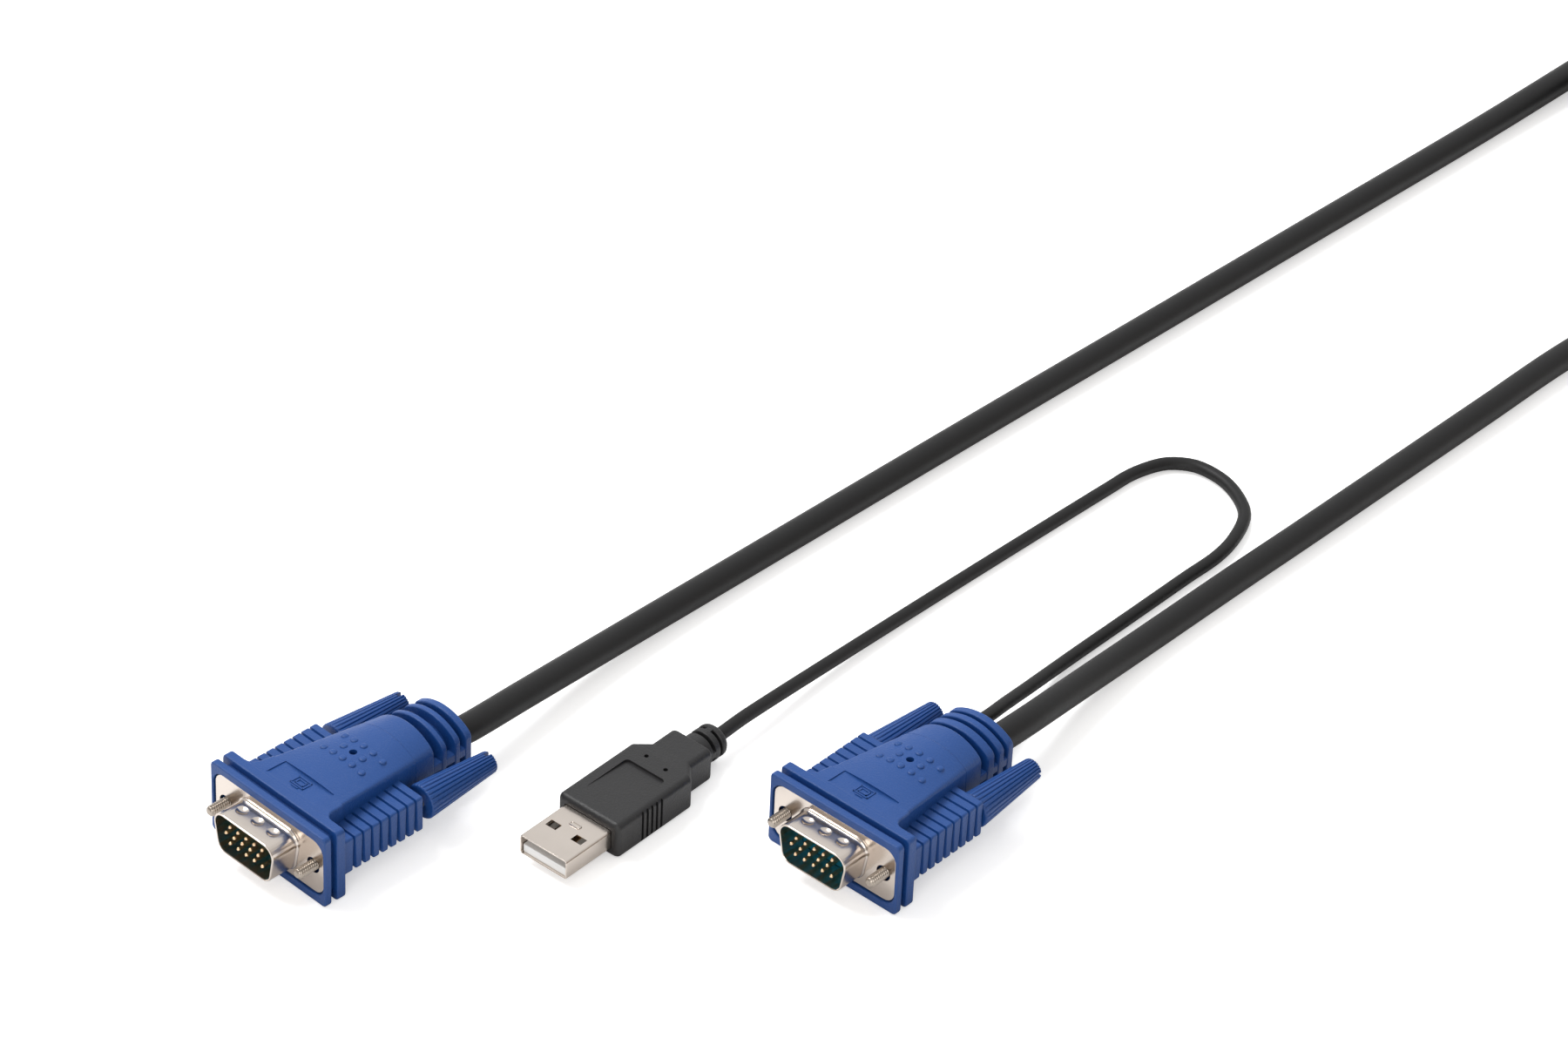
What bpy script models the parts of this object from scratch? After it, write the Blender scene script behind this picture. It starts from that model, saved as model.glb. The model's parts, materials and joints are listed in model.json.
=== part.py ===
"""Keyboard, video and mouse cable: two 15-pin D plugs with thumbscrews, a USB plug and their cables.

Metres, +Z up. The plugs lie level on the floor, z = 0, and mate towards -Y. The origin is on the floor,
under the middle of the box round the two D plugs. Each plug is modelled in its own frame: X across,
Y back from the collar's front face (the shell's mouth on the USB plug), Z up from the plug's axis.
"""

import math

import bmesh
import bpy
from mathutils import Vector

# Fits
GAP = 0.0003
SLIP = 0.00015

# Collar of a D plug: two plates with a groove between them
COLLAR_WIDTH = 0.03265
COLLAR_HEIGHT = 0.01654
FRONT_PLATE = 0.00167
COLLAR_GROOVE = 0.00139
REAR_PLATE = 0.00217
COLLAR_GROOVE_DEPTH = 0.0015
COLLAR_CORNER = 0.0009
EDGE = 0.00025

# Where the three plugs lie: place on the floor and turn about Z
PLUG_A_AT = (-0.03917, -0.05548)
PLUG_A_TURN = math.radians(-2.73)
PLUG_B_AT = (0.03915, 0.01763)
PLUG_B_TURN = 0.0
USB_AT = (-0.00076, -0.02012)
USB_TURN = math.radians(1.3)

# Body of a D plug's hood, behind the collar
BODY_FRONT_WIDTH = 0.0206
BODY_REAR_WIDTH = 0.015
BODY_FILLET = 0.002
BODY_FRONT_RISE = 0.0001
BODY_REAR_RISE = 0.0027
BODY_TOP_STEP = 0.00004
BODY_TOP_FALL = 0.0002
BODY_CORNER = 0.0004
BODY_LENGTH_A = 0.0308
BODY_LENGTH_B = 0.0295

# Ribbed blocks at the hood's sides, which hold the thumbscrews
EAR_INSET = 0.00097
EAR_HEIGHT = 0.0081
EAR_LENGTH = 0.0206
EAR_CHAMFER = 0.0007
EAR_GROOVES = 8
EAR_GROOVE_FIRST = 0.0031
EAR_GROOVE_PITCH = 0.00224
EAR_GROOVE_WIDTH = 0.0009
EAR_GROOVE_FLOOR = 0.0003
EAR_GROOVE_DEPTH = 0.0007

# Strain relief at the hood's rear: start behind the body and thickness of each of its plates
BOOT_PLATES_A = ((0.0021, 0.0012), (0.0055, 0.0013), (0.0082, 0.0016))
BOOT_PLATES_B = ((0.0015, 0.0020), (0.0048, 0.0016), (0.0075, 0.0017))
BOOT_WIDTH_A = 0.0148
BOOT_WIDTH_B = 0.0154
BOOT_CROWN = 0.0074
BOOT_REAR_CROWN = 0.0065
BOOT_RISE = 0.0024
BOOT_CORE_INSET = 0.0021
BOOT_BAR_HEIGHT = 0.0015

# Marks on the hood's top
DOT_WIDTH = 0.0016
DOT_HEIGHT = 0.0004
DOT_PITCH = 0.00265
DOT_ROWS = (0.0191, 0.0218, 0.0245)
PIT_WIDTH = 0.0016
PIT_DEPTH = 0.0012
RECESS_WIDTH = 0.0138
RECESS_FRONT = 0.0057
RECESS_REAR = 0.0108
RECESS_DEPTH = 0.0005
SCREEN_WIDTH = 0.0036
SCREEN_DEPTH = 0.0025
SCREEN_FRAME = 0.00045
SCREEN_HEIGHT = 0.00025

# Steel front shell: flange, and the D round the pins
FLANGE_WIDTH = 0.0308
FLANGE_HEIGHT = 0.0125
FLANGE_CORNER = 0.0025
FLANGE_THICKNESS = 0.00075
FLANGE_INSET = 0.0004
D_WIDTH = 0.0178
D_HEIGHT = 0.0092
D_CORNER = 0.0026
D_SLANT = math.radians(10)
D_WALL = 0.00042
D_REACH = 0.0061
BEAD_WIDTH = 0.0006
BEAD_LENGTH = 0.0007
DENT_SPACING = 0.0044
DENT_WIDTH = 0.0030
DENT_FLOOR = 0.0012
DENT_DEPTH = 0.00026
DENT_FRONT = 0.0024

# Steel rear shell, insulator and pins
REAR_SHELL_WALL = 0.0004
REAR_SHELL_LENGTH = 0.0078
REAR_SHELL_LIP = 0.0012
INSULATOR_FRONT = 0.0003
PIN_WIDTH = 0.00076
PIN_TIP = 0.0057
PIN_REAR = 0.0102
PIN_PITCH = 0.00229
PIN_ROW_PITCH = 0.00198
PIN_TIP_LENGTH = 0.0007
POCKET_DEPTH = 0.0112

# Thumbscrews
SCREW_SPACING = 0.02499
SCREW_WIDTH = 0.00284
SCREW_REACH = 0.0043
SCREW_TIP = 0.0005
SCREW_HOLE = 0.0036
SCREW_IN_HANDLE = 0.010
HANDLE_GAP_A = 0.0019
HANDLE_GAP_B = 0.0003
HANDLE_LENGTH = 0.0182
HANDLE_FRONT_WIDTH = 0.0074
HANDLE_REAR_WIDTH = 0.00465
HANDLE_RIBS = 16
HANDLE_RIB_DEPTH = 0.00022
HANDLE_EDGE = 0.0004
SLOT_WIDTH = 0.001
SLOT_DEPTH = 0.0015

# USB plug
USB_SHELL_WIDTH = 0.0120
USB_SHELL_HEIGHT = 0.0045
USB_SHELL_CORNER = 0.0005
USB_SHELL_WALL = 0.0003
USB_SHELL_REACH = 0.0126
USB_SHELL_BURIED = 0.0072
USB_WINDOW_WIDTH = 0.0026
USB_WINDOW_LENGTH = 0.0019
USB_WINDOW_SPACING = 0.0065
USB_WINDOW_FRONT = 0.0055
USB_TONGUE_WIDTH = 0.0110
USB_TONGUE_THICKNESS = 0.00185
USB_TONGUE_SETBACK = 0.0005
USB_CONTACT_WIDTH = 0.0010
USB_CONTACT_THICKNESS = 0.00025
USB_CONTACT_PLACES = (-0.0035, -0.0010, 0.0010, 0.0035)
USB_CONTACT_FRONTS = (0.0012, 0.0022, 0.0022, 0.0012)
USB_CONTACT_LENGTH = 0.0150
USB_GRIP_WIDTH = 0.0158
USB_GRIP_HEIGHT = 0.0082
USB_GRIP_CORNER = 0.0012
USB_GRIP_BEVEL = 0.0009
USB_GRIP_LENGTH = 0.0210
USB_TAPER_LENGTH = 0.0028
USB_NECK_WIDTH = 0.0103
USB_NECK_LENGTH = 0.0065
USB_BOOT_WIDTH = 0.0072
USB_BOOT_HEIGHT = 0.0068
USB_BOOT_RINGS = ((0.0, 0.0021), (0.0030, 0.0012), (0.0051, 0.0018))
USB_BOOT_CORE = 0.0048
USB_BOOT_BRIDGE = 0.0012
USB_SIDE_GROOVES = 5
USB_SIDE_GROOVE_FIRST = 0.0072
USB_SIDE_GROOVE_PITCH = 0.00136
USB_SIDE_GROOVE_WIDTH = 0.0006
USB_SIDE_GROOVE_DEPTH = 0.00045
USB_PANEL_WIDTH = 0.0100
USB_PANEL_FRONT = 0.0048
USB_PANEL_LENGTH = 0.0119
USB_PANEL_DEPTH = 0.0005
USB_PIT_WIDTH = 0.0008
USB_PIT_SPACING = 0.0055
USB_PIT_SETBACK = 0.0010

# Cables
MAIN_WIDTH = 0.0060
USB_CABLE_WIDTH = 0.0028
MAIN_EXIT = 0.0019
CABLE_LEAD = 0.0015
SPACING = 2.5
USB_EXIT = -0.0044

# The coil of the main cable's unseen length, in two layers, on its tie
COIL_AT = (0.01535, 0.3708)
COIL_OUTER = 0.0405
COIL_INNER = 0.0240
COIL_ENTRY = math.radians(177.8)
TIE_WIDTH = 0.009
TIE_THICKNESS = 0.0008
COIL_LIFT = TIE_THICKNESS + GAP

# Routes along each cable's middle, from one exit to the other
ROUTE_A = [
    (-0.0348, -0.0059, 0.0082), (-0.0355, 0.0103, 0.0068), (-0.0367, 0.0366, 0.0044),
    (-0.0364, 0.0749, 0.0031), (-0.0351, 0.1134, 0.0030), (-0.0336, 0.1533, 0.0030),
    (-0.0319, 0.1945, 0.0030), (-0.0297, 0.2521, 0.0030), (-0.0274, 0.3128, 0.0030),
]
ROUTE_B = [
    (0.04095, 0.0732, 0.0078), (0.0391, 0.0917, 0.0052), (0.0379, 0.1097, 0.0034),
    (0.0378, 0.1432, 0.0030), (0.0381, 0.1658, 0.0030), (0.0386, 0.2248, 0.0030),
    (0.0389, 0.2555, 0.0030), (0.0420, 0.2900, 0.0030), (0.0495, 0.3220, 0.0044),
    (0.0546, 0.3480, 0.0078),
]
ROUTE_USB = [
    (0.0344, 0.0694, 0.0076), (0.0335, 0.0742, 0.0066), (0.0316, 0.0846, 0.0042),
    (0.0301, 0.0946, 0.0024), (0.0294, 0.1036, 0.0016), (0.0292, 0.1203, 0.0014),
    (0.0291, 0.1373, 0.0014), (0.0291, 0.1478, 0.0014), (0.0278, 0.1548, 0.0014),
    (0.0245, 0.1624, 0.0014), (0.0204, 0.1660, 0.0014), (0.0138, 0.1689, 0.0014),
    (0.0066, 0.1689, 0.0014), (0.0024, 0.1663, 0.0014), (0.0006, 0.1638, 0.0014),
    (-0.0013, 0.1574, 0.0014), (-0.0017, 0.1494, 0.0014), (-0.0025, 0.1251, 0.0014),
    (-0.0033, 0.0935, 0.0015), (-0.0031, 0.0616, 0.0026), (-0.0025, 0.0452, 0.0037),
    (-0.0022, 0.0373, 0.0041),
]

# Sizes that follow from those
AXIS_HEIGHT = COLLAR_HEIGHT / 2
COLLAR_LENGTH = FRONT_PLATE + COLLAR_GROOVE + REAR_PLATE
EAR_REAR = COLLAR_LENGTH + EAR_LENGTH
FLANGE_BACK = FLANGE_INSET + FLANGE_THICKNESS
SCREW_AT = SCREW_SPACING / 2
USB_AXIS_HEIGHT = USB_GRIP_HEIGHT / 2
BODY_CROWN = AXIS_HEIGHT - BODY_TOP_STEP
USB_GRIP_REAR = USB_SHELL_REACH + USB_GRIP_LENGTH
USB_NECK_FRONT = USB_GRIP_REAR + USB_TAPER_LENGTH
USB_NECK_REAR = USB_NECK_FRONT + USB_NECK_LENGTH
USB_BOOT_REAR = USB_NECK_REAR + sum(USB_BOOT_RINGS[-1])

BLUE = (0.022, 0.062, 0.26)
STEEL = (0.72, 0.68, 0.62)


def clear_scene():
    for item in list(bpy.data.objects):
        bpy.data.objects.remove(item)


def collection(name):
    made = bpy.data.collections.new(name)
    bpy.context.scene.collection.children.link(made)
    return made


def material(name, colour, roughness, metallic=0.0):
    made = bpy.data.materials.new(name)
    made.use_nodes = True
    shader = made.node_tree.nodes["Principled BSDF"]
    shader.inputs["Base Color"].default_value = (*colour, 1.0)
    shader.inputs["Roughness"].default_value = roughness
    shader.inputs["Metallic"].default_value = metallic
    return made


def place(name, mesh, look, frame=None, at=(0, 0, 0), turn=(0, 0, 0)):
    """An object of the model, in the frame of a plug or in the world."""
    item = bpy.data.objects.new(name, mesh)
    PARTS.objects.link(item)
    item.parent = frame
    item.location = at
    item.rotation_euler = turn
    if look:
        mesh.materials.append(look)
    return item


def helper(name, mesh, frame):
    """A solid that only cuts or joins another, left out of the model."""
    item = bpy.data.objects.new(name, mesh)
    HELPERS.objects.link(item)
    item.parent = frame
    item.hide_render = True
    item.display_type = "WIRE"
    return item


def boolean(item, other, operation):
    modifier = item.modifiers.new(f"{operation.lower()} {other.name}", "BOOLEAN")
    modifier.operation = operation
    modifier.object = other


def finished(name, work):
    bmesh.ops.recalc_face_normals(work, faces=work.faces)
    mesh = bpy.data.meshes.new(name)
    work.to_mesh(mesh)
    work.free()
    return mesh


def add_loft(work, rings):
    """A closed solid through rings of equally many points, with flat ends."""
    loops = [[work.verts.new(point) for point in ring] for ring in rings]
    for here, there in zip(loops, loops[1:]):
        for i in range(len(here)):
            j = (i + 1) % len(here)
            work.faces.new((here[i], here[j], there[j], there[i]))
    work.faces.new(loops[0])
    work.faces.new(loops[-1])


def loft(name, *solids):
    """One mesh of separate lofted solids."""
    work = bmesh.new()
    for rings in solids:
        add_loft(work, rings)
    return finished(name, work)


def along_y(outline, y):
    return [(x, y, z) for x, z in outline]


def disc(x, y, z, radius, sides=8):
    """A level ring of points."""
    angles = [math.tau * i / sides for i in range(sides)]
    return [(x + radius * math.cos(angle), y + radius * math.sin(angle), z) for angle in angles]


def prism(outline, y0, y1):
    return [along_y(outline, y0), along_y(outline, y1)]


def boxes(name, spans):
    """One mesh of separate boxes, each given by its spans in x, y and z."""
    work = bmesh.new()
    for span in spans:
        cube = bmesh.ops.create_cube(work, size=1.0)["verts"]
        size = [high - low for low, high in span]
        middle = [(low + high) / 2 for low, high in span]
        bmesh.ops.scale(work, vec=size, verts=cube)
        bmesh.ops.translate(work, vec=middle, verts=cube)
    return finished(name, work)


def rods(name, places, radius, y0, y1, sides):
    """One mesh of separate round rods along Y, at these (x, z)."""
    circle = [
        (radius * math.cos(math.tau * i / sides), radius * math.sin(math.tau * i / sides))
        for i in range(sides)
    ]
    return loft(name, *[prism([(x + cx, z + cz) for cx, cz in circle], y0, y1) for x, z in places])


def turned(name, profile, look, frame, at, sides):
    """A round piece along Y: its profile is (radius, y) from the front of the axis to the back."""
    mesh = bpy.data.meshes.new(name)
    mesh.from_pydata([(r, 0, -y) for r, y in profile], [(i, i + 1) for i in range(len(profile) - 1)], [])
    item = place(name, mesh, look, frame, at, (math.pi / 2, 0, 0))
    screw = item.modifiers.new("turn", "SCREW")
    screw.steps = sides
    screw.render_steps = sides
    screw.use_merge_vertices = True
    screw.merge_threshold = 0.00001
    screw.use_smooth_shade = True
    return item


def arc(centre, radius, start, end, steps):
    return [
        (
            centre[0] + radius * math.cos(start + (end - start) * i / steps),
            centre[1] + radius * math.sin(start + (end - start) * i / steps),
        )
        for i in range(steps + 1)
    ]


def rounded(width, height, corner, steps=2):
    """Outline of a rectangle with round corners."""
    x = width / 2 - corner
    z = height / 2 - corner
    quarter = math.pi / 2
    outline = []
    for i, centre in enumerate(((x, z), (-x, z), (-x, -z), (x, -z))):
        outline += arc(centre, corner, i * quarter, (i + 1) * quarter, steps)
    return outline


def d_outline(width, height, corner, steps=4):
    """Outline of the D: its sides slant in towards the bottom."""
    half = height / 2
    top = width / 2
    bottom = top - height * math.tan(D_SLANT)
    # A round corner's centre lies this far in from the slanting side's end.
    top_in = corner * math.tan((math.pi / 2 + D_SLANT) / 2)
    bottom_in = corner * math.tan((math.pi / 2 - D_SLANT) / 2)
    right = -D_SLANT
    outline = arc((top - top_in, half - corner), corner, right, math.pi / 2, steps)
    outline += arc((-top + top_in, half - corner), corner, math.pi / 2, math.pi - right, steps)
    outline += arc((-bottom + bottom_in, corner - half), corner, math.pi - right, 1.5 * math.pi, steps)
    outline += arc((bottom - bottom_in, corner - half), corner, -math.pi / 2, right, steps)
    return outline


def d_inside(clearance=0.0):
    """The D that fits inside the front shell."""
    less = 2 * (D_WALL + clearance)
    return d_outline(D_WIDTH - less, D_HEIGHT - less, D_CORNER - D_WALL - clearance)


def arched(half_width, crown, rise, corner, steps=8):
    """Outline with an arched top and bottom, upright sides and bevelled edges."""
    half = half_width - corner
    top = []
    for i in range(steps + 1):
        x = half * math.cos(math.pi * i / steps)
        radius = (half**2 + rise**2) / (2 * rise)
        top.append((x, crown - radius + math.sqrt(radius**2 - x**2)))
    side = crown - rise - corner
    right = [(half_width, -side), (half_width, side)]
    left = [(-half_width, side), (-half_width, -side)]
    return right + top + left + [(-x, -z) for x, z in top]


def body_at(y, length):
    """Half width, crown and rise of the hood's body at this distance behind the front face."""
    share = min(max((y - COLLAR_LENGTH) / length, 0.0), 1.0)
    half_width = (BODY_FRONT_WIDTH + share * (BODY_REAR_WIDTH - BODY_FRONT_WIDTH)) / 2
    rise = BODY_FRONT_RISE + share * (BODY_REAR_RISE - BODY_FRONT_RISE)
    return half_width, BODY_CROWN - share * BODY_TOP_FALL, rise


def top_height(x, y, length):
    half_width, crown, rise = body_at(y, length)
    radius = ((half_width - BODY_CORNER) ** 2 + rise**2) / (2 * rise)
    return crown - radius + math.sqrt(radius**2 - x**2)


def collar_rings():
    """The two plates and the groove between them, front to back."""
    rear = FRONT_PLATE + COLLAR_GROOVE
    steps = (
        (0.0, EDGE), (EDGE, 0.0), (FRONT_PLATE - EDGE, 0.0), (FRONT_PLATE, EDGE),
        (FRONT_PLATE, COLLAR_GROOVE_DEPTH), (rear, COLLAR_GROOVE_DEPTH),
        (rear, EDGE), (rear + EDGE, 0.0), (COLLAR_LENGTH - EDGE, 0.0), (COLLAR_LENGTH, EDGE),
    )
    return [
        along_y(rounded(COLLAR_WIDTH - 2 * inset, COLLAR_HEIGHT - 2 * inset, COLLAR_CORNER), y)
        for y, inset in steps
    ]


def body_rings(length, boot_width, boot_plates):
    """The body, from inside the collar's rear plate to the end of the strain relief."""
    rings = []
    for angle in (0.0, math.radians(20), math.radians(45), math.radians(70), math.radians(90)):
        y = COLLAR_LENGTH + BODY_FILLET * (1 - math.cos(angle))
        half_width, crown, rise = body_at(y, length)
        half_width += BODY_FILLET * (1 - math.sin(angle))
        rings.append(along_y(arched(half_width, crown, rise, BODY_CORNER), y))
    rings.insert(0, [(x, COLLAR_LENGTH - REAR_PLATE / 2, z) for x, y, z in rings[0]])
    for share in (0.35, 0.7, 1.0):
        y = COLLAR_LENGTH + share * length
        rings.append(along_y(arched(*body_at(y, length), BODY_CORNER), y))
    rear = COLLAR_LENGTH + length
    total = sum(boot_plates[-1])
    for start, thickness in boot_plates:
        crown = BOOT_CROWN + (BOOT_REAR_CROWN - BOOT_CROWN) * start / total
        core = arched(boot_width / 2 - BOOT_CORE_INSET, crown - BOOT_CORE_INSET, BOOT_RISE, BODY_CORNER)
        plate = arched(boot_width / 2, crown, BOOT_RISE, BODY_CORNER)
        edge = arched(boot_width / 2 - EDGE, crown - EDGE, BOOT_RISE, BODY_CORNER)
        front = rear + start
        back = front + thickness
        rings += [
            along_y(core, rings[-1][0][1]), along_y(core, front), along_y(edge, front),
            along_y(plate, front + EDGE), along_y(plate, back - EDGE), along_y(edge, back),
        ]
    return rings


def ear_rings(side):
    """One ribbed block, side = 1 on the right and -1 on the left."""
    outer = COLLAR_WIDTH / 2 - EAR_INSET
    inner = BODY_REAR_WIDTH / 2 - BODY_CORNER

    def section(y, inset):
        x = outer - inset
        z = EAR_HEIGHT / 2 - inset
        cut = EAR_CHAMFER
        outline = [(inner, -z), (x - cut, -z), (x, cut - z), (x, z - cut), (x - cut, z), (inner, z)]
        return [(side * px, y, pz) for px, pz in outline]

    rings = [section(COLLAR_LENGTH - REAR_PLATE / 2, 0.0)]
    for i in range(EAR_GROOVES):
        middle = COLLAR_LENGTH + EAR_GROOVE_FIRST + i * EAR_GROOVE_PITCH
        rings += [
            section(middle - EAR_GROOVE_WIDTH / 2, 0.0),
            section(middle - EAR_GROOVE_FLOOR / 2, EAR_GROOVE_DEPTH),
            section(middle + EAR_GROOVE_FLOOR / 2, EAR_GROOVE_DEPTH),
            section(middle + EAR_GROOVE_WIDTH / 2, 0.0),
        ]
    rings.append(section(EAR_REAR, 0.0))
    return rings


def dots(length):
    """Low domes in three rows round the pit, as lofted rings."""
    middle = DOT_ROWS[1]
    places = [(i * DOT_PITCH, y) for y in (DOT_ROWS[0], DOT_ROWS[2]) for i in (-2, -1, 0, 1, 2)]
    places += [(-DOT_PITCH, middle), (DOT_PITCH, middle)]
    solids = []
    for x, y in places:
        surface = top_height(x, y, length)
        steps = ((1.0, -DOT_HEIGHT), (1.0, DOT_HEIGHT / 3), (0.55, DOT_HEIGHT))
        solids.append([disc(x, y, surface + rise, share * DOT_WIDTH / 2) for share, rise in steps])
    return solids


def screen_mark():
    """A plain monitor outline that stands in the recess: a frame of four bars and a foot."""
    slope = RECESS_DEPTH / (RECESS_REAR - RECESS_FRONT)
    middle = (RECESS_FRONT + RECESS_REAR) / 2
    front = middle - SCREEN_DEPTH / 2
    rear = middle + SCREEN_DEPTH / 2
    top = BODY_CROWN - slope * (middle - RECESS_FRONT) + SCREEN_HEIGHT
    bottom = BODY_CROWN - RECESS_DEPTH - SCREEN_HEIGHT
    half = SCREEN_WIDTH / 2
    bar = SCREEN_FRAME
    outer = [(-half, front), (half, front), (half, rear), (-half, rear)]
    inner_front = front + bar
    inner_rear = rear - bar
    inner_half = half - bar
    inner = [
        (-inner_half, inner_front), (inner_half, inner_front),
        (inner_half, inner_rear), (-inner_half, inner_rear),
    ]
    work = bmesh.new()
    loops = [
        [work.verts.new((x, y, z)) for x, y in outline]
        for outline, z in ((outer, bottom), (outer, top), (inner, top), (inner, bottom))
    ]
    for here, there in zip(loops, loops[1:] + loops[:1]):
        for i in range(4):
            j = (i + 1) % 4
            work.faces.new((here[i], here[j], there[j], there[i]))
    foot = ((-half / 2, half / 2), (front - 2 * bar, front - bar), (bottom, top))
    cube = bmesh.ops.create_cube(work, size=1.0)["verts"]
    bmesh.ops.scale(work, vec=[high - low for low, high in foot], verts=cube)
    bmesh.ops.translate(work, vec=[(low + high) / 2 for low, high in foot], verts=cube)
    return finished("screen_mark", work)


def hood(tag, frame, length, boot_width, boot_plates):
    """The moulded hood of one D plug: collar, body, ribbed blocks and strain relief in one piece."""
    item = place(f"hood_{tag}", loft(f"hood_{tag}", collar_rings()), HOOD_LOOK, frame)
    body = helper(f"body_{tag}", loft("body", body_rings(length, boot_width, boot_plates)), frame)
    boolean(item, body, "UNION")
    ears = helper(f"ears_{tag}", loft("ears", ear_rings(1), ear_rings(-1)), frame)
    boolean(item, ears, "UNION")
    rear = COLLAR_LENGTH + length
    boot_end = rear + sum(boot_plates[-1])
    bar_half = boot_width / 2 - EDGE
    bar_height = BOOT_BAR_HEIGHT / 2
    bar = boxes("bar", [((-bar_half, bar_half), (rear - GAP, boot_end - GAP), (-bar_height, bar_height))])
    boolean(item, helper(f"bar_{tag}", bar, frame), "UNION")

    window = rounded(FLANGE_WIDTH + 2 * GAP, FLANGE_HEIGHT + 2 * GAP, FLANGE_CORNER + GAP, 4)
    room = 2 * (REAR_SHELL_WALL + GAP)
    pocket = d_outline(D_WIDTH + room, D_HEIGHT + room, D_CORNER + room / 2)
    for name, cut in (
        ("window", prism(window, -GAP, FLANGE_BACK)),
        ("pocket", prism(pocket, 0.0, POCKET_DEPTH)),
    ):
        boolean(item, helper(f"{name}_{tag}", loft(name, cut), frame), "DIFFERENCE")
    bore = rods("bore", [(-SCREW_AT, 0.0), (SCREW_AT, 0.0)], SCREW_WIDTH / 2 + GAP, 0.0, EAR_REAR + GAP, 12)
    boolean(item, helper(f"bore_{tag}", bore, frame), "DIFFERENCE")

    above = BODY_CROWN + RECESS_DEPTH
    half = RECESS_WIDTH / 2
    slope = RECESS_DEPTH / (RECESS_REAR - RECESS_FRONT)
    start = RECESS_FRONT - RECESS_DEPTH
    profile = [
        (start, BODY_CROWN + slope * RECESS_DEPTH), (RECESS_REAR, BODY_CROWN - RECESS_DEPTH),
        (RECESS_REAR, above), (start, above),
    ]
    wedge = loft("wedge", [[(-half, y, z) for y, z in profile], [(half, y, z) for y, z in profile]])
    boolean(item, helper(f"recess_{tag}", wedge, frame), "DIFFERENCE")
    boolean(item, helper(f"mark_{tag}", screen_mark(), frame), "UNION")
    boolean(item, helper(f"dots_{tag}", loft("dots", *dots(length)), frame), "UNION")
    pit = [disc(0.0, DOT_ROWS[1], BODY_CROWN + side * PIT_DEPTH, PIT_WIDTH / 2) for side in (-1, 1)]
    boolean(item, helper(f"pit_{tag}", loft("pit", pit), frame), "DIFFERENCE")
    return item


def front_shell(tag, frame):
    """Pressed steel flange with the D round the pins."""
    edge = rounded(FLANGE_WIDTH, FLANGE_HEIGHT, FLANGE_CORNER, 4)
    flange = loft("flange", prism(edge, FLANGE_INSET, FLANGE_BACK))
    item = place(f"d_shell_{tag}", flange, STEEL_LOOK, frame)
    outer = d_outline(D_WIDTH, D_HEIGHT, D_CORNER)
    bead = d_outline(D_WIDTH + 2 * BEAD_WIDTH, D_HEIGHT + 2 * BEAD_WIDTH, D_CORNER + BEAD_WIDTH)
    middle = (FLANGE_INSET + FLANGE_BACK) / 2
    nose = [
        along_y(bead, middle), along_y(bead, FLANGE_INSET - BEAD_LENGTH / 3),
        along_y(outer, FLANGE_INSET - BEAD_LENGTH), along_y(outer, -D_REACH),
    ]
    boolean(item, helper(f"nose_{tag}", loft("nose", nose), frame), "UNION")
    opening = loft("opening", prism(d_inside(), -D_REACH - GAP, FLANGE_BACK + GAP))
    boolean(item, helper(f"opening_{tag}", opening, frame), "DIFFERENCE")
    holes = rods("holes", [(-SCREW_AT, 0.0), (SCREW_AT, 0.0)], SCREW_HOLE / 2, 0.0, FLANGE_BACK + GAP, 16)
    boolean(item, helper(f"holes_{tag}", holes, frame), "DIFFERENCE")
    top = D_HEIGHT / 2
    dents = [
        [disc(i * DENT_SPACING, -DENT_FRONT, side * height, width / 2, 10) for width, height in (
            (DENT_FLOOR, top - DENT_DEPTH), (DENT_WIDTH, top), (DENT_WIDTH, top + GAP),
        )]
        for i in (-1, 0, 1)
        for side in (-1, 1)
    ]
    boolean(item, helper(f"dents_{tag}", loft("dents", *dents), frame), "DIFFERENCE")


def rear_shell(tag, frame):
    """Steel cup behind the flange, open towards the pins' ends."""
    wall = 2 * REAR_SHELL_WALL
    outer = d_outline(D_WIDTH + wall - 2 * SLIP, D_HEIGHT + wall - 2 * SLIP, D_CORNER + wall / 2)
    inner = d_outline(D_WIDTH - 2 * SLIP, D_HEIGHT - 2 * SLIP, D_CORNER)
    lip = 2 * (D_WALL + REAR_SHELL_LIP)
    hole = d_outline(D_WIDTH - lip, D_HEIGHT - lip, D_CORNER - lip / 2)
    rear = FLANGE_BACK + REAR_SHELL_LENGTH
    item = place(f"rear_shell_{tag}", loft("cup", prism(outer, FLANGE_BACK, rear)), STEEL_LOOK, frame)
    room = [
        along_y(inner, FLANGE_BACK - GAP), along_y(inner, rear - REAR_SHELL_WALL),
        along_y(hole, rear - REAR_SHELL_WALL), along_y(hole, rear + GAP),
    ]
    boolean(item, helper(f"room_{tag}", loft("room", room), frame), "DIFFERENCE")


def pin_places():
    """(x, z) of the fifteen pins, in three rows: the middle row is half a pitch to one side."""
    return [
        (PIN_PITCH * (column - 2) - (PIN_PITCH / 2 if row == 0 else 0.0), row * PIN_ROW_PITCH)
        for row in (1, 0, -1)
        for column in range(5)
    ]


def insulator(tag, frame):
    rear = FLANGE_BACK + REAR_SHELL_LENGTH - REAR_SHELL_WALL - SLIP
    block = loft("block", prism(d_inside(SLIP), -INSULATOR_FRONT, rear))
    item = place(f"insulator_{tag}", block, INSULATOR_LOOK, frame)
    holes = rods("pin_holes", pin_places(), PIN_WIDTH / 2 + SLIP, -D_REACH, rear + GAP, 8)
    boolean(item, helper(f"pin_holes_{tag}", holes, frame), "DIFFERENCE")


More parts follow.
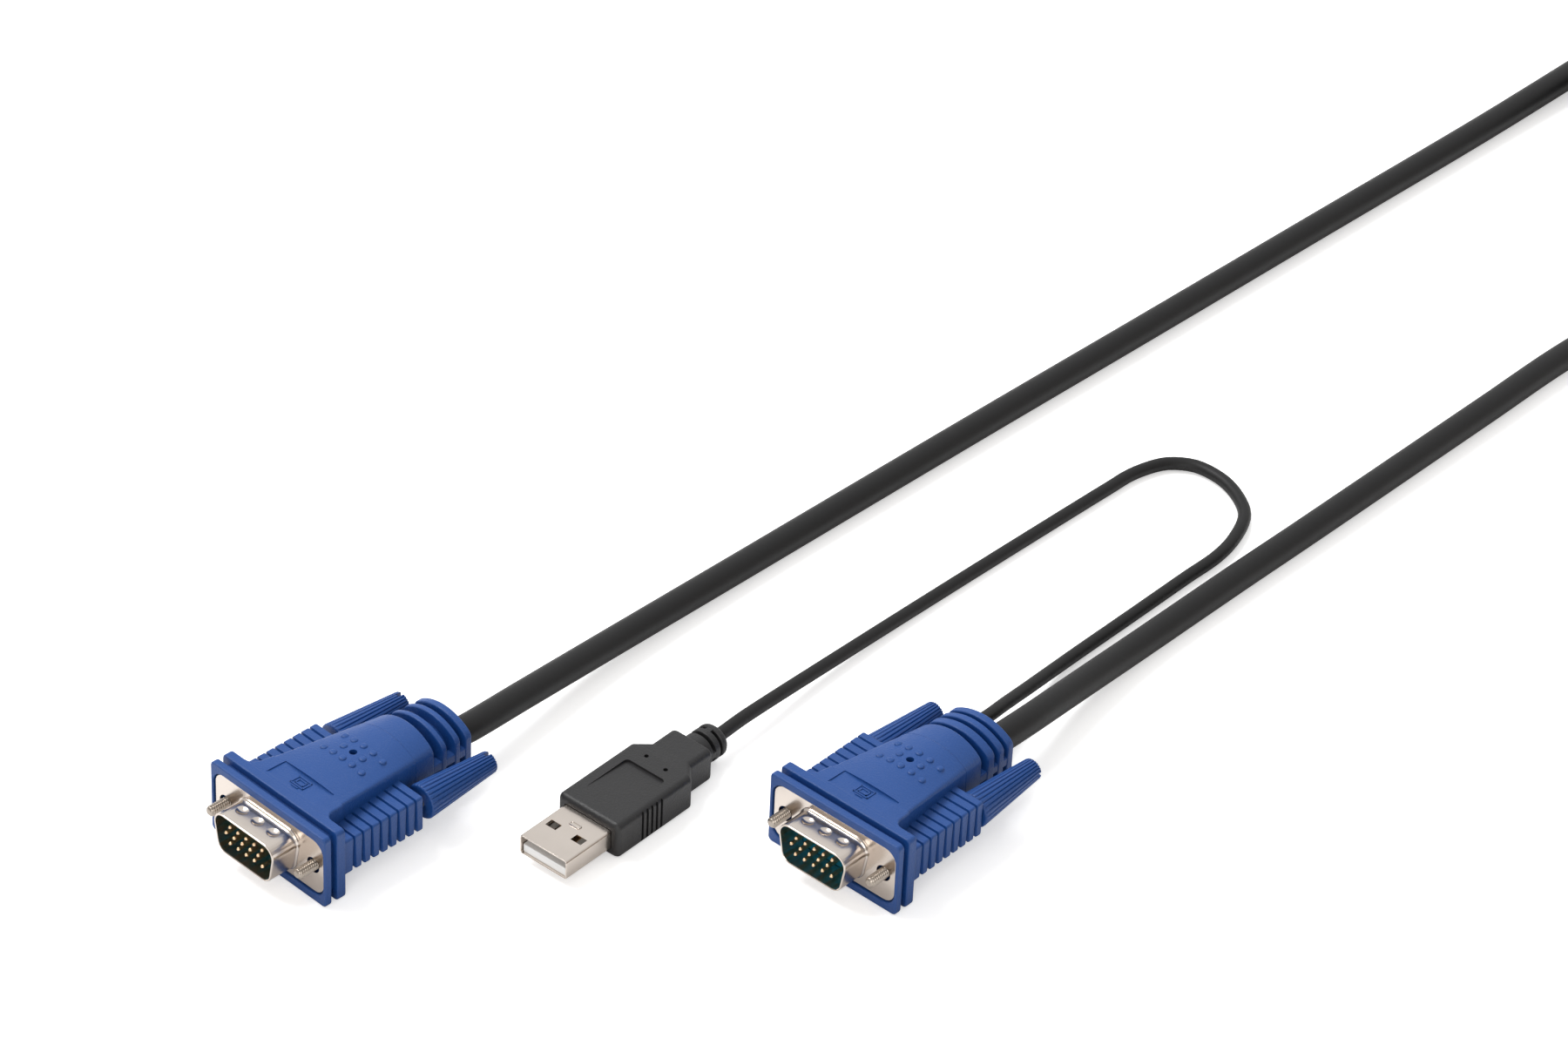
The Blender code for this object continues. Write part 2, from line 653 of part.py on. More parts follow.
def pins(tag, frame):
    radius = PIN_WIDTH / 2
    profile = [
        (0.0, -PIN_TIP), (radius / 2, -PIN_TIP + PIN_TIP_LENGTH / 5), (radius, -PIN_TIP + PIN_TIP_LENGTH),
        (radius, PIN_REAR), (0.0, PIN_REAR),
    ]
    for number, (x, z) in enumerate(pin_places(), 1):
        turned(f"pin_{tag}_{number:02d}", profile, GOLD_LOOK, frame, (x, 0, z), 8)


def thumbscrew(tag, side, frame, handle_gap):
    """A steel screw through the ribbed block and its ribbed plastic handle, both about the screw's axis."""
    x = SCREW_AT if side == "right" else -SCREW_AT
    front = EAR_REAR + handle_gap
    rear = front + HANDLE_LENGTH
    tip = FLANGE_INSET - SCREW_REACH
    end = front + SCREW_IN_HANDLE
    radius = SCREW_WIDTH / 2
    profile = [(0.0, tip), (radius - SCREW_TIP, tip), (radius, tip + SCREW_TIP), (radius, end), (0.0, end)]
    turned(f"screw_{tag}_{side}", profile, STEEL_LOOK, frame, (x, 0, 0), 12)

    def section(y, radius):
        points = []
        for i in range(2 * HANDLE_RIBS):
            reach = radius - (HANDLE_RIB_DEPTH if i % 2 else 0.0)
            angle = math.pi * i / HANDLE_RIBS
            points.append((reach * math.cos(angle), y, reach * math.sin(angle)))
        return points

    wide = HANDLE_FRONT_WIDTH / 2
    thin = HANDLE_REAR_WIDTH / 2
    rings = [
        section(front, wide - HANDLE_EDGE), section(front + HANDLE_EDGE, wide),
        section(rear - HANDLE_EDGE, thin), section(rear, thin - HANDLE_EDGE),
    ]
    handle = place(f"handle_{tag}_{side}", loft("handle", rings), HOOD_LOOK, frame, (x, 0, 0))
    hole = rods("bore", [(0.0, 0.0)], radius + SLIP, front - GAP, end + GAP, 12)
    bore = helper(f"handle_bore_{tag}_{side}", hole, frame)
    bore.location = (x, 0, 0)
    boolean(handle, bore, "DIFFERENCE")
    slot_half = SLOT_WIDTH / 2
    slot_ends = (rear - SLOT_DEPTH, rear + GAP)
    slot = boxes("slot", [((-thin - GAP, thin + GAP), slot_ends, (-slot_half, slot_half))])
    cutter = helper(f"slot_{tag}_{side}", slot, frame)
    cutter.location = (x, 0, 0)
    boolean(handle, cutter, "DIFFERENCE")


def plug_frame(name, at, turn, height):
    frame = bpy.data.objects.new(name, None)
    PARTS.objects.link(frame)
    frame.location = (at[0], at[1], height)
    frame.rotation_euler = (0, 0, turn)
    return frame


def d_plug(tag, at, turn, length, boot_width, boot_plates, handle_gap):
    frame = plug_frame(f"plug_{tag}", at, turn, AXIS_HEIGHT)
    hood(tag, frame, length, boot_width, boot_plates)
    front_shell(tag, frame)
    rear_shell(tag, frame)
    insulator(tag, frame)
    pins(tag, frame)
    for side in ("left", "right"):
        thumbscrew(tag, side, frame, handle_gap)


def usb_overmould(frame):
    """Moulded grip with a panel line on top, grooved sides and a ringed strain relief."""
    bevel = USB_GRIP_BEVEL
    neck_bevel = bevel / 2

    def grip(width, height, corner, y):
        return along_y(rounded(width, height, corner, 3), y)

    oval = USB_BOOT_HEIGHT / 2 - GAP
    core = USB_BOOT_CORE / 2 - GAP
    rings = [
        grip(USB_GRIP_WIDTH - 2 * bevel, USB_GRIP_HEIGHT - 2 * bevel, USB_GRIP_CORNER, USB_SHELL_REACH),
        grip(USB_GRIP_WIDTH, USB_GRIP_HEIGHT, USB_GRIP_CORNER, USB_SHELL_REACH + bevel),
        grip(USB_GRIP_WIDTH, USB_GRIP_HEIGHT, USB_GRIP_CORNER, USB_GRIP_REAR),
        grip(USB_NECK_WIDTH, USB_GRIP_HEIGHT - neck_bevel, USB_GRIP_CORNER, USB_NECK_FRONT),
        grip(USB_NECK_WIDTH, USB_GRIP_HEIGHT - neck_bevel, USB_GRIP_CORNER, USB_NECK_REAR - neck_bevel),
        grip(USB_NECK_WIDTH - bevel, USB_GRIP_HEIGHT - 2 * bevel, USB_GRIP_CORNER, USB_NECK_REAR),
        grip(USB_BOOT_CORE, USB_BOOT_CORE, core, USB_NECK_REAR),
    ]
    for start, thickness in USB_BOOT_RINGS:
        front = USB_NECK_REAR + start
        back = front + thickness
        rings += [
            grip(USB_BOOT_CORE, USB_BOOT_CORE, core, front),
            grip(USB_BOOT_WIDTH, USB_BOOT_HEIGHT, oval, front),
            grip(USB_BOOT_WIDTH, USB_BOOT_HEIGHT, oval, back),
            grip(USB_BOOT_CORE, USB_BOOT_CORE, core, back),
        ]
    item = place("usb_overmould", loft("usb_overmould", rings), USB_LOOK, frame)
    buried = USB_SHELL_REACH + USB_SHELL_BURIED + GAP
    pocket = rounded(USB_SHELL_WIDTH + 2 * SLIP, USB_SHELL_HEIGHT + 2 * SLIP, USB_SHELL_CORNER, 2)
    boolean(item, helper("usb_pocket", loft("pocket", prism(pocket, 0.0, buried)), frame), "DIFFERENCE")

    outer = USB_GRIP_WIDTH / 2
    spans = []
    for i in range(USB_SIDE_GROOVES):
        middle = USB_SHELL_REACH + USB_SIDE_GROOVE_FIRST + i * USB_SIDE_GROOVE_PITCH
        y = (middle - USB_SIDE_GROOVE_WIDTH / 2, middle + USB_SIDE_GROOVE_WIDTH / 2)
        z = (-USB_GRIP_HEIGHT / 2 + USB_GRIP_CORNER, USB_GRIP_HEIGHT / 2 - USB_GRIP_CORNER)
        spans.append(((outer - USB_SIDE_GROOVE_DEPTH, outer + GAP), y, z))
        spans.append(((-outer - GAP, -outer + USB_SIDE_GROOVE_DEPTH), y, z))
    boolean(item, helper("usb_side_grooves", boxes("grooves", spans), frame), "DIFFERENCE")

    top = USB_GRIP_HEIGHT / 2
    front = USB_SHELL_REACH + USB_PANEL_FRONT
    middle = front + USB_PANEL_LENGTH / 2
    slope = USB_PANEL_DEPTH / USB_PANEL_LENGTH
    outline = [(x, middle + y) for x, y in rounded(USB_PANEL_WIDTH, USB_PANEL_LENGTH, USB_GRIP_CORNER)]
    panel = [
        [(x, y, top - slope * (y - front)) for x, y in outline],
        [(x, y, top + USB_PANEL_DEPTH) for x, y in outline],
    ]
    boolean(item, helper("usb_panel", loft("panel", panel), frame), "DIFFERENCE")
    pit_y = USB_GRIP_REAR - USB_PIT_SETBACK
    pit_ends = (top - USB_PIT_WIDTH, top + GAP)
    pits = [
        [disc(side * USB_PIT_SPACING / 2, pit_y, z, USB_PIT_WIDTH / 2) for z in pit_ends]
        for side in (-1, 1)
    ]
    boolean(item, helper("usb_pits", loft("pits", *pits), frame), "DIFFERENCE")
    # The relief's first groove is bridged at both sides, its second at the top and bottom.
    half = USB_BOOT_BRIDGE / 2
    starts = [USB_NECK_REAR + sum(USB_BOOT_RINGS[i]) - GAP for i in (0, 1)]
    ends = [USB_NECK_REAR + USB_BOOT_RINGS[i][0] + GAP for i in (1, 2)]
    wide = USB_BOOT_WIDTH / 2 - GAP
    high = USB_BOOT_HEIGHT / 2 - GAP
    bridges = boxes("bridges", [
        ((-wide, wide), (starts[0], ends[0]), (-half, half)),
        ((-half, half), (starts[1], ends[1]), (-high, high)),
    ])
    boolean(item, helper("usb_bridges", bridges, frame), "UNION")


def usb_shell(frame):
    """Folded steel shell with its four windows."""
    rear = USB_SHELL_REACH + USB_SHELL_BURIED
    outline = rounded(USB_SHELL_WIDTH, USB_SHELL_HEIGHT, USB_SHELL_CORNER, 2)
    item = place("usb_shell", loft("usb_shell", prism(outline, 0.0, rear)), STEEL_LOOK, frame)
    wall = 2 * USB_SHELL_WALL
    inner = rounded(USB_SHELL_WIDTH - wall, USB_SHELL_HEIGHT - wall, USB_SHELL_CORNER - USB_SHELL_WALL, 2)
    boolean(item, helper("usb_room", loft("room", prism(inner, -GAP, rear + GAP)), frame), "DIFFERENCE")
    half = USB_WINDOW_WIDTH / 2
    spans = []
    for side in (-1, 1):
        x = side * USB_WINDOW_SPACING / 2
        spans.append((
            (x - half, x + half), (USB_WINDOW_FRONT, USB_WINDOW_FRONT + USB_WINDOW_LENGTH),
            (-USB_SHELL_HEIGHT, USB_SHELL_HEIGHT),
        ))
    boolean(item, helper("usb_windows", boxes("windows", spans), frame), "DIFFERENCE")


def usb_inside(frame):
    """The tongue on the shell's floor and its four contacts."""
    rear = USB_SHELL_REACH + USB_SHELL_BURIED
    floor = -USB_SHELL_HEIGHT / 2 + USB_SHELL_WALL
    top = floor + USB_TONGUE_THICKNESS
    half = USB_TONGUE_WIDTH / 2
    tongue = boxes("usb_tongue", [((-half, half), (USB_TONGUE_SETBACK, rear), (floor, top))])
    place("usb_tongue", tongue, TONGUE_LOOK, frame)
    for number, (x, front) in enumerate(zip(USB_CONTACT_PLACES, USB_CONTACT_FRONTS), 1):
        span = (
            (x - USB_CONTACT_WIDTH / 2, x + USB_CONTACT_WIDTH / 2), (front, front + USB_CONTACT_LENGTH),
            (top, top + USB_CONTACT_THICKNESS),
        )
        place(f"usb_contact_{number}", boxes("usb_contact", [span]), GOLD_LOOK, frame)


def world_point(frame_at, turn, height, x, y, z=0.0):
    """A point of a plug's frame in the world."""
    c = math.cos(turn)
    s = math.sin(turn)
    return Vector((frame_at[0] + c * x - s * y, frame_at[1] + s * x + c * y, height + z))


def straight_out(start, turn):
    """The two ends of a cable's short straight stretch at a plug's rear."""
    return [start, start + CABLE_LEAD * Vector((-math.sin(turn), math.cos(turn), 0.0))]


def smooth(route, spacing):
    """Points at even spacing on a smooth curve through the route's points."""
    ends = [2 * route[0] - route[1]] + route + [2 * route[-1] - route[-2]]
    fine = []
    for p0, p1, p2, p3 in zip(ends, ends[1:], ends[2:], ends[3:]):
        steps = 24
        t1 = max((p1 - p0).length ** 0.5, 1e-6)
        t2 = t1 + max((p2 - p1).length ** 0.5, 1e-6)
        t3 = t2 + max((p3 - p2).length ** 0.5, 1e-6)
        for i in range(steps):
            t = t1 + (t2 - t1) * i / steps
            a1 = p0.lerp(p1, t / t1)
            a2 = p1.lerp(p2, (t - t1) / (t2 - t1))
            a3 = p2.lerp(p3, (t - t2) / (t3 - t2))
            b1 = a1.lerp(a2, t / t2)
            b2 = a2.lerp(a3, (t - t1) / (t3 - t1))
            fine.append(b1.lerp(b2, (t - t1) / (t2 - t1)))
    fine.append(route[-1])
    lengths = [(b - a).length for a, b in zip(fine, fine[1:])]
    count = max(round(sum(lengths) / spacing), 2)
    step = sum(lengths) / count
    points = [fine[0]]
    run = 0.0
    for a, b, length in zip(fine, fine[1:], lengths):
        while len(points) < count and run + length >= step * len(points):
            points.append(a.lerp(b, (step * len(points) - run) / length))
        run += length
    return points + [fine[-1]]


def cable(name, points, width):
    """A cable's stretch: a round tube along its points."""
    curve = bpy.data.curves.new(name, "CURVE")
    curve.dimensions = "3D"
    curve.bevel_depth = width / 2
    curve.bevel_resolution = 2
    curve.use_fill_caps = True
    spline = curve.splines.new("POLY")
    spline.points.add(len(points) - 1)
    for target, point in zip(spline.points, points):
        target.co = (*point, 1.0)
    item = bpy.data.objects.new(name, curve)
    PARTS.objects.link(item)
    curve.materials.append(CABLE_LOOK)
    return item


def before_coil(route, width):
    """The route, ended where its tube comes up to the coil's outside."""
    centre = Vector((COIL_AT[0], COIL_AT[1], 0.0))
    outside = COIL_OUTER + MAIN_WIDTH / 2 + GAP
    kept = smooth(route, width / 6)
    while True:
        last = kept[-1]
        heading = (last - kept[-2]).normalized()
        aside = Vector((-heading.y, heading.x, 0.0)) * width / 2
        nearest = min((last + way * aside - centre).to_2d().length for way in (-1, 1))
        if nearest > outside:
            return kept
        kept.pop()


def coil_point(angle, radius, height):
    return Vector((COIL_AT[0] + radius * math.cos(angle), COIL_AT[1] + radius * math.sin(angle), height))


def cables():
    radius = MAIN_WIDTH / 2
    rear_a = COLLAR_LENGTH + BODY_LENGTH_A + sum(BOOT_PLATES_A[-1]) + GAP
    start_a = world_point(PLUG_A_AT, PLUG_A_TURN, AXIS_HEIGHT, MAIN_EXIT, rear_a)
    rear_b = COLLAR_LENGTH + BODY_LENGTH_B + sum(BOOT_PLATES_B[-1]) + GAP
    start_b = world_point(PLUG_B_AT, PLUG_B_TURN, AXIS_HEIGHT, MAIN_EXIT, rear_b)
    start_usb = world_point(PLUG_B_AT, PLUG_B_TURN, AXIS_HEIGHT, USB_EXIT, rear_b)
    end_usb = world_point(USB_AT, USB_TURN, USB_AXIS_HEIGHT, 0.0, USB_BOOT_REAR + GAP)
    into_coil = coil_point(COIL_ENTRY, COIL_OUTER, COIL_LIFT + radius)
    out_of_coil = coil_point(COIL_ENTRY - math.pi, COIL_OUTER, COIL_LIFT + radius + MAIN_WIDTH)
    for name, start, turn, middle, end in (
        ("main_cable_a", start_a, PLUG_A_TURN, ROUTE_A, into_coil),
        ("main_cable_b", start_b, PLUG_B_TURN, ROUTE_B, out_of_coil),
    ):
        lead = straight_out(start, turn)
        route = before_coil([lead[1]] + [Vector(point) for point in middle] + [end], MAIN_WIDTH)
        cable(name, [start] + smooth(route, SPACING * MAIN_WIDTH), MAIN_WIDTH)
    out_b = straight_out(start_usb, PLUG_B_TURN)
    out_usb = straight_out(end_usb, USB_TURN)
    route = [out_b[1]] + [Vector(point) for point in ROUTE_USB] + [out_usb[1]]
    points = smooth(route, SPACING * USB_CABLE_WIDTH)
    cable("usb_cable", [start_usb] + points + [end_usb], USB_CABLE_WIDTH)


def coil():
    """The coil's outer shape, two layers of turns high, as a turned ring."""
    inner = COIL_INNER - MAIN_WIDTH / 2
    outer = COIL_OUTER + MAIN_WIDTH / 2
    bottom = COIL_LIFT
    top = COIL_LIFT + 2 * MAIN_WIDTH
    corner = MAIN_WIDTH / 3
    outline = [
        (outer - corner, top), (outer, top - corner), (outer, bottom + corner), (outer - corner, bottom),
        (inner + corner, bottom), (inner, bottom + corner), (inner, top - corner), (inner + corner, top),
    ]
    mesh = bpy.data.meshes.new("main_cable_coil")
    edges = [(i, (i + 1) % len(outline)) for i in range(len(outline))]
    mesh.from_pydata([(r, 0, z) for r, z in outline], edges, [])
    item = place("main_cable_coil", mesh, CABLE_LOOK, None, (COIL_AT[0], COIL_AT[1], 0.0))
    screw = item.modifiers.new("turn", "SCREW")
    screw.steps = 48
    screw.render_steps = 48
    screw.use_merge_vertices = True
    screw.merge_threshold = 0.00001
    screw.use_smooth_shade = True


def coil_tie():
    """A strap once round the coil's section, on the side away from the plugs."""
    inner = COIL_INNER - MAIN_WIDTH / 2
    outer = COIL_OUTER + MAIN_WIDTH / 2
    near = math.sqrt(inner**2 - (TIE_WIDTH / 2) ** 2) - GAP
    far = outer + GAP
    bottom = TIE_THICKNESS
    top = COIL_LIFT + 2 * MAIN_WIDTH + GAP
    work = bmesh.new()
    loops = []
    for grow, x in ((0.0, -1), (TIE_THICKNESS, -1), (TIE_THICKNESS, 1), (0.0, 1)):
        outline = rounded(far - near + 2 * grow, top - bottom + 2 * grow, MAIN_WIDTH / 6 + grow, 3)
        middle = ((near + far) / 2, (bottom + top) / 2)
        edge = x * TIE_WIDTH / 2
        loops.append([work.verts.new((edge, middle[0] + y, middle[1] + z)) for y, z in outline])
    for here, there in zip(loops, loops[1:] + loops[:1]):
        for i in range(len(here)):
            j = (i + 1) % len(here)
            work.faces.new((here[i], here[j], there[j], there[i]))
    place("coil_tie", finished("coil_tie", work), TIE_LOOK, None, (COIL_AT[0], COIL_AT[1], 0.0))


clear_scene()
PARTS = collection("kvm_cable")
HELPERS = collection("kvm_cable_helpers")
HOOD_LOOK = material("blue_plastic", BLUE, 0.42)
STEEL_LOOK = material("nickel_plate", STEEL, 0.25, 1.0)
INSULATOR_LOOK = material("insulator_plastic", (0.01, 0.05, 0.07), 0.5)
GOLD_LOOK = material("gold_plate", (0.83, 0.62, 0.25), 0.25, 1.0)
USB_LOOK = material("charcoal_plastic", (0.05, 0.05, 0.05), 0.5)
TONGUE_LOOK = material("white_plastic", (0.8, 0.8, 0.78), 0.45)
CABLE_LOOK = material("black_pvc", (0.015, 0.015, 0.016), 0.55)
TIE_LOOK = material("black_strap", (0.02, 0.02, 0.02), 0.7)

d_plug("a", PLUG_A_AT, PLUG_A_TURN, BODY_LENGTH_A, BOOT_WIDTH_A, BOOT_PLATES_A, HANDLE_GAP_A)
d_plug("b", PLUG_B_AT, PLUG_B_TURN, BODY_LENGTH_B, BOOT_WIDTH_B, BOOT_PLATES_B, HANDLE_GAP_B)
usb_plug = plug_frame("plug_usb", USB_AT, USB_TURN, USB_AXIS_HEIGHT)
usb_overmould(usb_plug)
usb_shell(usb_plug)
usb_inside(usb_plug)
cables()
coil()
coil_tie()
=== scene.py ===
"""Looks of a keyboard, video and mouse cable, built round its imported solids.

A plug's pieces are drawn in millimetres in the plug's own frame (X across, Y back from the collar's front
face or the USB shell's mouth, Z up from the plug's axis), then placed in metres where its solids are.
"""

import json
import math

import bmesh
import bpy
from mathutils import Matrix, Vector


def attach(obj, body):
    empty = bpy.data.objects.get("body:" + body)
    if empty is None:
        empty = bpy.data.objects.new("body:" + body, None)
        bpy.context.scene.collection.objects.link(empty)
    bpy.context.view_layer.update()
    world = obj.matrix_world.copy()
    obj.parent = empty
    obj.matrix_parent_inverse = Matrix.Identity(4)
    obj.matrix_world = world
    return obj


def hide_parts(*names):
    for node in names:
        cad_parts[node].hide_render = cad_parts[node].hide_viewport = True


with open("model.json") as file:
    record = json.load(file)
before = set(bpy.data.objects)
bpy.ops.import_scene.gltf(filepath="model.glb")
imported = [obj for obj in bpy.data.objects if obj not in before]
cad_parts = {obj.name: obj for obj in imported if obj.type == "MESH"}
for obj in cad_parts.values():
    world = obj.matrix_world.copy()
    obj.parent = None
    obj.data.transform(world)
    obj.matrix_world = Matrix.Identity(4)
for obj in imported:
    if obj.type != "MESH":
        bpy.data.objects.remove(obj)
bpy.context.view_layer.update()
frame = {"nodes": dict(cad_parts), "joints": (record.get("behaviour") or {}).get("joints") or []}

# Collar and body of a D plug's hood, mm
COLLAR_WIDTH = 32.65
COLLAR_HEIGHT = 16.54
COLLAR_CORNER = 0.9
FRONT_PLATE = 1.67
COLLAR_GROOVE = 1.39
COLLAR_GROOVE_DEPTH = 1.5
COLLAR_LENGTH = 5.23
SOFT_EDGE = 0.3
COLLAR_HOLE_END = 4.0
WINDOW_GAP = 0.25
WINDOW_BEVEL = (0.4, 0.12)
# How far the body and the ribbed blocks reach into the collar
ROOT = 0.8
BODY_FRONT_WIDTH = 20.6
BODY_REAR_WIDTH = 15.0
BODY_FILLET = 2.0
BODY_FRONT_RISE = 0.1
BODY_REAR_RISE = 2.7
BODY_CROWN = 8.23
BODY_TOP_FALL = 0.2
CORNER_BASE = 0.4
BODY_CORNER = (0.45, 1.0)
BODY_STEP = 0.28
BODY_STEP_AT = 10.3
BODY_STEP_RAMP = 0.15
BODY_EDGE = 0.6
PART_LINE = 5.4
PART_LINE_HALF = 0.08
PART_LINE_DEPTH = 0.06

# Ribbed blocks
EAR_INSET = 0.97
EAR_HEIGHT = 8.1
EAR_REAR = 25.83
EAR_CHAMFER = 0.5
EAR_GROOVES = 8
EAR_GROOVE_FIRST = 3.1
EAR_GROOVE_PITCH = 2.24
EAR_GROOVE_WIDTH = 0.55
EAR_GROOVE_FLOOR = 0.2
EAR_GROOVE_DEPTH = 0.7
EAR_GROOVE_FLARE = 1.9
# A groove's depth at the block's top and bottom, as a share of its depth at the side
EAR_GROOVE_TOP = 0.8
EAR_SOFT = 0.08
EAR_ROOT = 1.0
# The block's rear edge: distance from its rear end, and inset
EAR_REAR_EDGE = ((0.25, 0.0), (0.07, 0.07), (0.0, 0.25))

# Each D plug: body length, relief width, relief plates (start and thickness) and its handles' gap
PLUGS = {
    "a": (30.8, 14.8, ((2.1, 1.2), (5.5, 1.3), (8.2, 1.6)), 1.9),
    "b": (29.5, 15.4, ((1.5, 2.0), (4.8, 1.6), (7.5, 1.7)), 0.3),
}
BOOT_CROWN = 7.4
BOOT_REAR_CROWN = 6.5
BOOT_RISE = 2.4
BOOT_CORE_INSET = 2.1
BOOT_BAR_HEIGHT = 2.0
BOOT_BAR_INSET = 0.3
BOOT_CORNER = 1.0
BOOT_EDGE = 0.3
# How far a raised or added shape reaches into what it stands on
SEAT = 0.5

# Marks on the hood's top
DOT_WIDTH = 1.55
DOT_HEIGHT = 0.32
DOT_PITCH = 2.65
DOT_ROWS = (19.1, 21.8, 24.5)
DOT_ROOT = 0.4
DOT_ROUND = 0.7
PIT_WIDTH = 1.6
PIT_DEPTH = 1.6
RECESS_HALF = 6.9
RECESS_FRONT = 5.6
RECESS_RAMP = 6.6
RECESS_REAR = 10.8
RECESS_DEPTHS = (0.34, 0.52)
RECESS_LIP = 0.02
# The mark's frames (half width, front, rear) and its foot (half width, front)
MARK_FRAMES = ((1.8, 7.3, 9.9), (1.1, 7.9, 9.3))
MARK_FOOT = (0.9, 6.8)
MARK_LINE = 0.26
MARK_RISE = 0.16

# Steel shells, pins and screws; the flange is its width, height and corner
FLANGE = (30.8, 12.5, 2.5)
FLANGE_FRONT = 0.4
FLANGE_BACK = 1.15
FLANGE_EDGE = 0.12
FLANGE_HOLE_END = 2.0
D_WIDTH = 17.8
D_HEIGHT = 9.2
D_CORNER = 2.6
D_SLANT = math.radians(10)
D_WALL = 0.42
D_REACH = 6.1
D_STEPS = 36
D_FLAT_START = 0.9
D_LIP = 0.16
D_ROOT = 0.45
D_POINT_STEP = 0.15
# The D shell's rim, counted from its front end, and the bead round its root: place and growth of the outline
D_RIM = ((0.04, -0.06), (0.0, -0.16), (0.0, -D_WALL + 0.1), (0.08, -D_WALL))
D_BEAD = ((0.45, 0.4), (0.25, 0.39), (0.1, 0.34), (0.0, 0.24), (-0.08, 0.1), (-0.2, 0.02), (-0.9, 0.0))
DENT_SPACING = 4.4
DENT_RADIUS = 1.3
DENT_DEPTH = 0.32
DENT_ROUND = 0.8
DENT_PULL = 0.1
DENT_PULL_REACH = 1.6
DENT_SQUEEZE = 1.15
DENT_FRONT = 2.4
# Points of the outline this near its top and bottom belong to the flat faces
D_FACE = 0.2
PIN_WIDTH = 0.82
PIN_TIP = 5.7
PIN_DOME = 0.55
PIN_REAR = 10.2
PIN_PITCH = 2.29
PIN_ROW_PITCH = 1.98
SCREW_AT = 12.495
SCREW_WIDTH = 2.3
SCREW_TIP = -3.9
SCREW_IN_HANDLE = 9.0
SCREW_NOSE = (0.55, 0.7)
SCREW_HOLE = 3.4
# Behind its thread the screw is thinner all round by the first length and starts after the second
SCREW_PLAIN = (0.1, 0.2)
THREAD_PITCH = 0.5
THREAD_DEPTH = 0.26
THREAD_SHAPE = (1.35, 0.2)
THREAD_STEPS = 10
THREAD_END = 4.0
HANDLE_LENGTH = 18.2
HANDLE_FRONT_WIDTH = 7.4
HANDLE_REAR_WIDTH = 4.65
HANDLE_RIBS = 24
HANDLE_RIB_POINTS = 8
HANDLE_RIB_SHAPE = 2.2
HANDLE_RIB_DEPTH = 0.26
HANDLE_EDGE = 0.45
SLOT_WIDTH = 1.0
SLOT_DEPTH = 1.5

# USB plug
USB_AT = (-0.00076, -0.02012)
USB_TURN = math.radians(1.3)
# Shell and grip: width, height and corner
USB_SHELL = (12.0, 4.5, 0.55)
USB_SHELL_INNER_CORNER = 0.2
USB_SHELL_WALL = 0.3
USB_SHELL_REACH = 12.6
USB_SHELL_REAR = 19.8
USB_WINDOW = (2.6, 1.9)
USB_WINDOW_AT = (3.25, 5.5)
USB_GRIP = (15.8, 8.2, 1.3)
USB_GRIP_BEVEL = 1.1
USB_NECK_DROP = 0.45
USB_SOFT = (0.12, 0.3)
USB_NECK_EDGE = 0.7
USB_POCKET_GAP = 0.1
USB_GRIP_REAR = 33.6
USB_NECK_FRONT = 36.4
USB_NECK_REAR = 42.9
USB_NECK_WIDTH = 10.3
USB_BOOT = (7.2, 6.8)
USB_BOOT_CORE = 4.4
USB_BOOT_FLAT = 0.05
USB_BOOT_RINGS = ((0.0, 2.2), (3.0, 1.35), (5.1, 1.8))
USB_BOOT_BRIDGE = 1.3
USB_BOOT_BRIDGES = ((1.8, 3.3), (3.9, 5.5))
USB_BOOT_BRIDGE_INSET = 0.06
USB_BOOT_EDGES = (0.2, 1.2)
USB_BOOT_CORE_END = 6.5
USB_SIDE_GROOVES = 5
USB_SIDE_GROOVE_FIRST = 19.6
USB_SIDE_GROOVE_PITCH = 1.36
USB_SIDE_GROOVE = (0.6, 0.5)
USB_SIDE_GROOVE_ENDS = 0.5
# Sunk panel (width, front, rear, depth) and pits (width, place across, place along, shift)
USB_PANEL = (10.0, 17.4, 29.3, 0.5)
USB_PANEL_CORNER = 0.9
USB_PANEL_LIP = 0.02
USB_PIT = (0.95, 2.75, 32.1, 0.3)
USB_PIT_DEPTH = 1.2
USB_SEAM = 0.16
USB_OVAL = (2.9, 1.35, 0.67)
USB_OVAL_AT = (-0.1, 9.2)
USB_OVAL_RISE = ((0.0, -0.1), (0.0, 0.02), (0.12, 0.2), (0.3, 0.22), (0.42, 0.06), (0.5, 0.04))
# The tongue's width, height, front and edge, and each contact's place across and front
USB_TONGUE = (11.0, 1.85, 0.5, 0.12)
USB_CONTACTS = ((-3.5, 2.9), (-1.0, 3.6), (1.0, 3.6), (3.5, 2.9))
USB_CONTACT_WIDTH = 1.0
USB_CONTACT_LENGTH = 14
USB_CONTACT_SUNK = 0.1
USB_CONTACT_RISE = 0.2

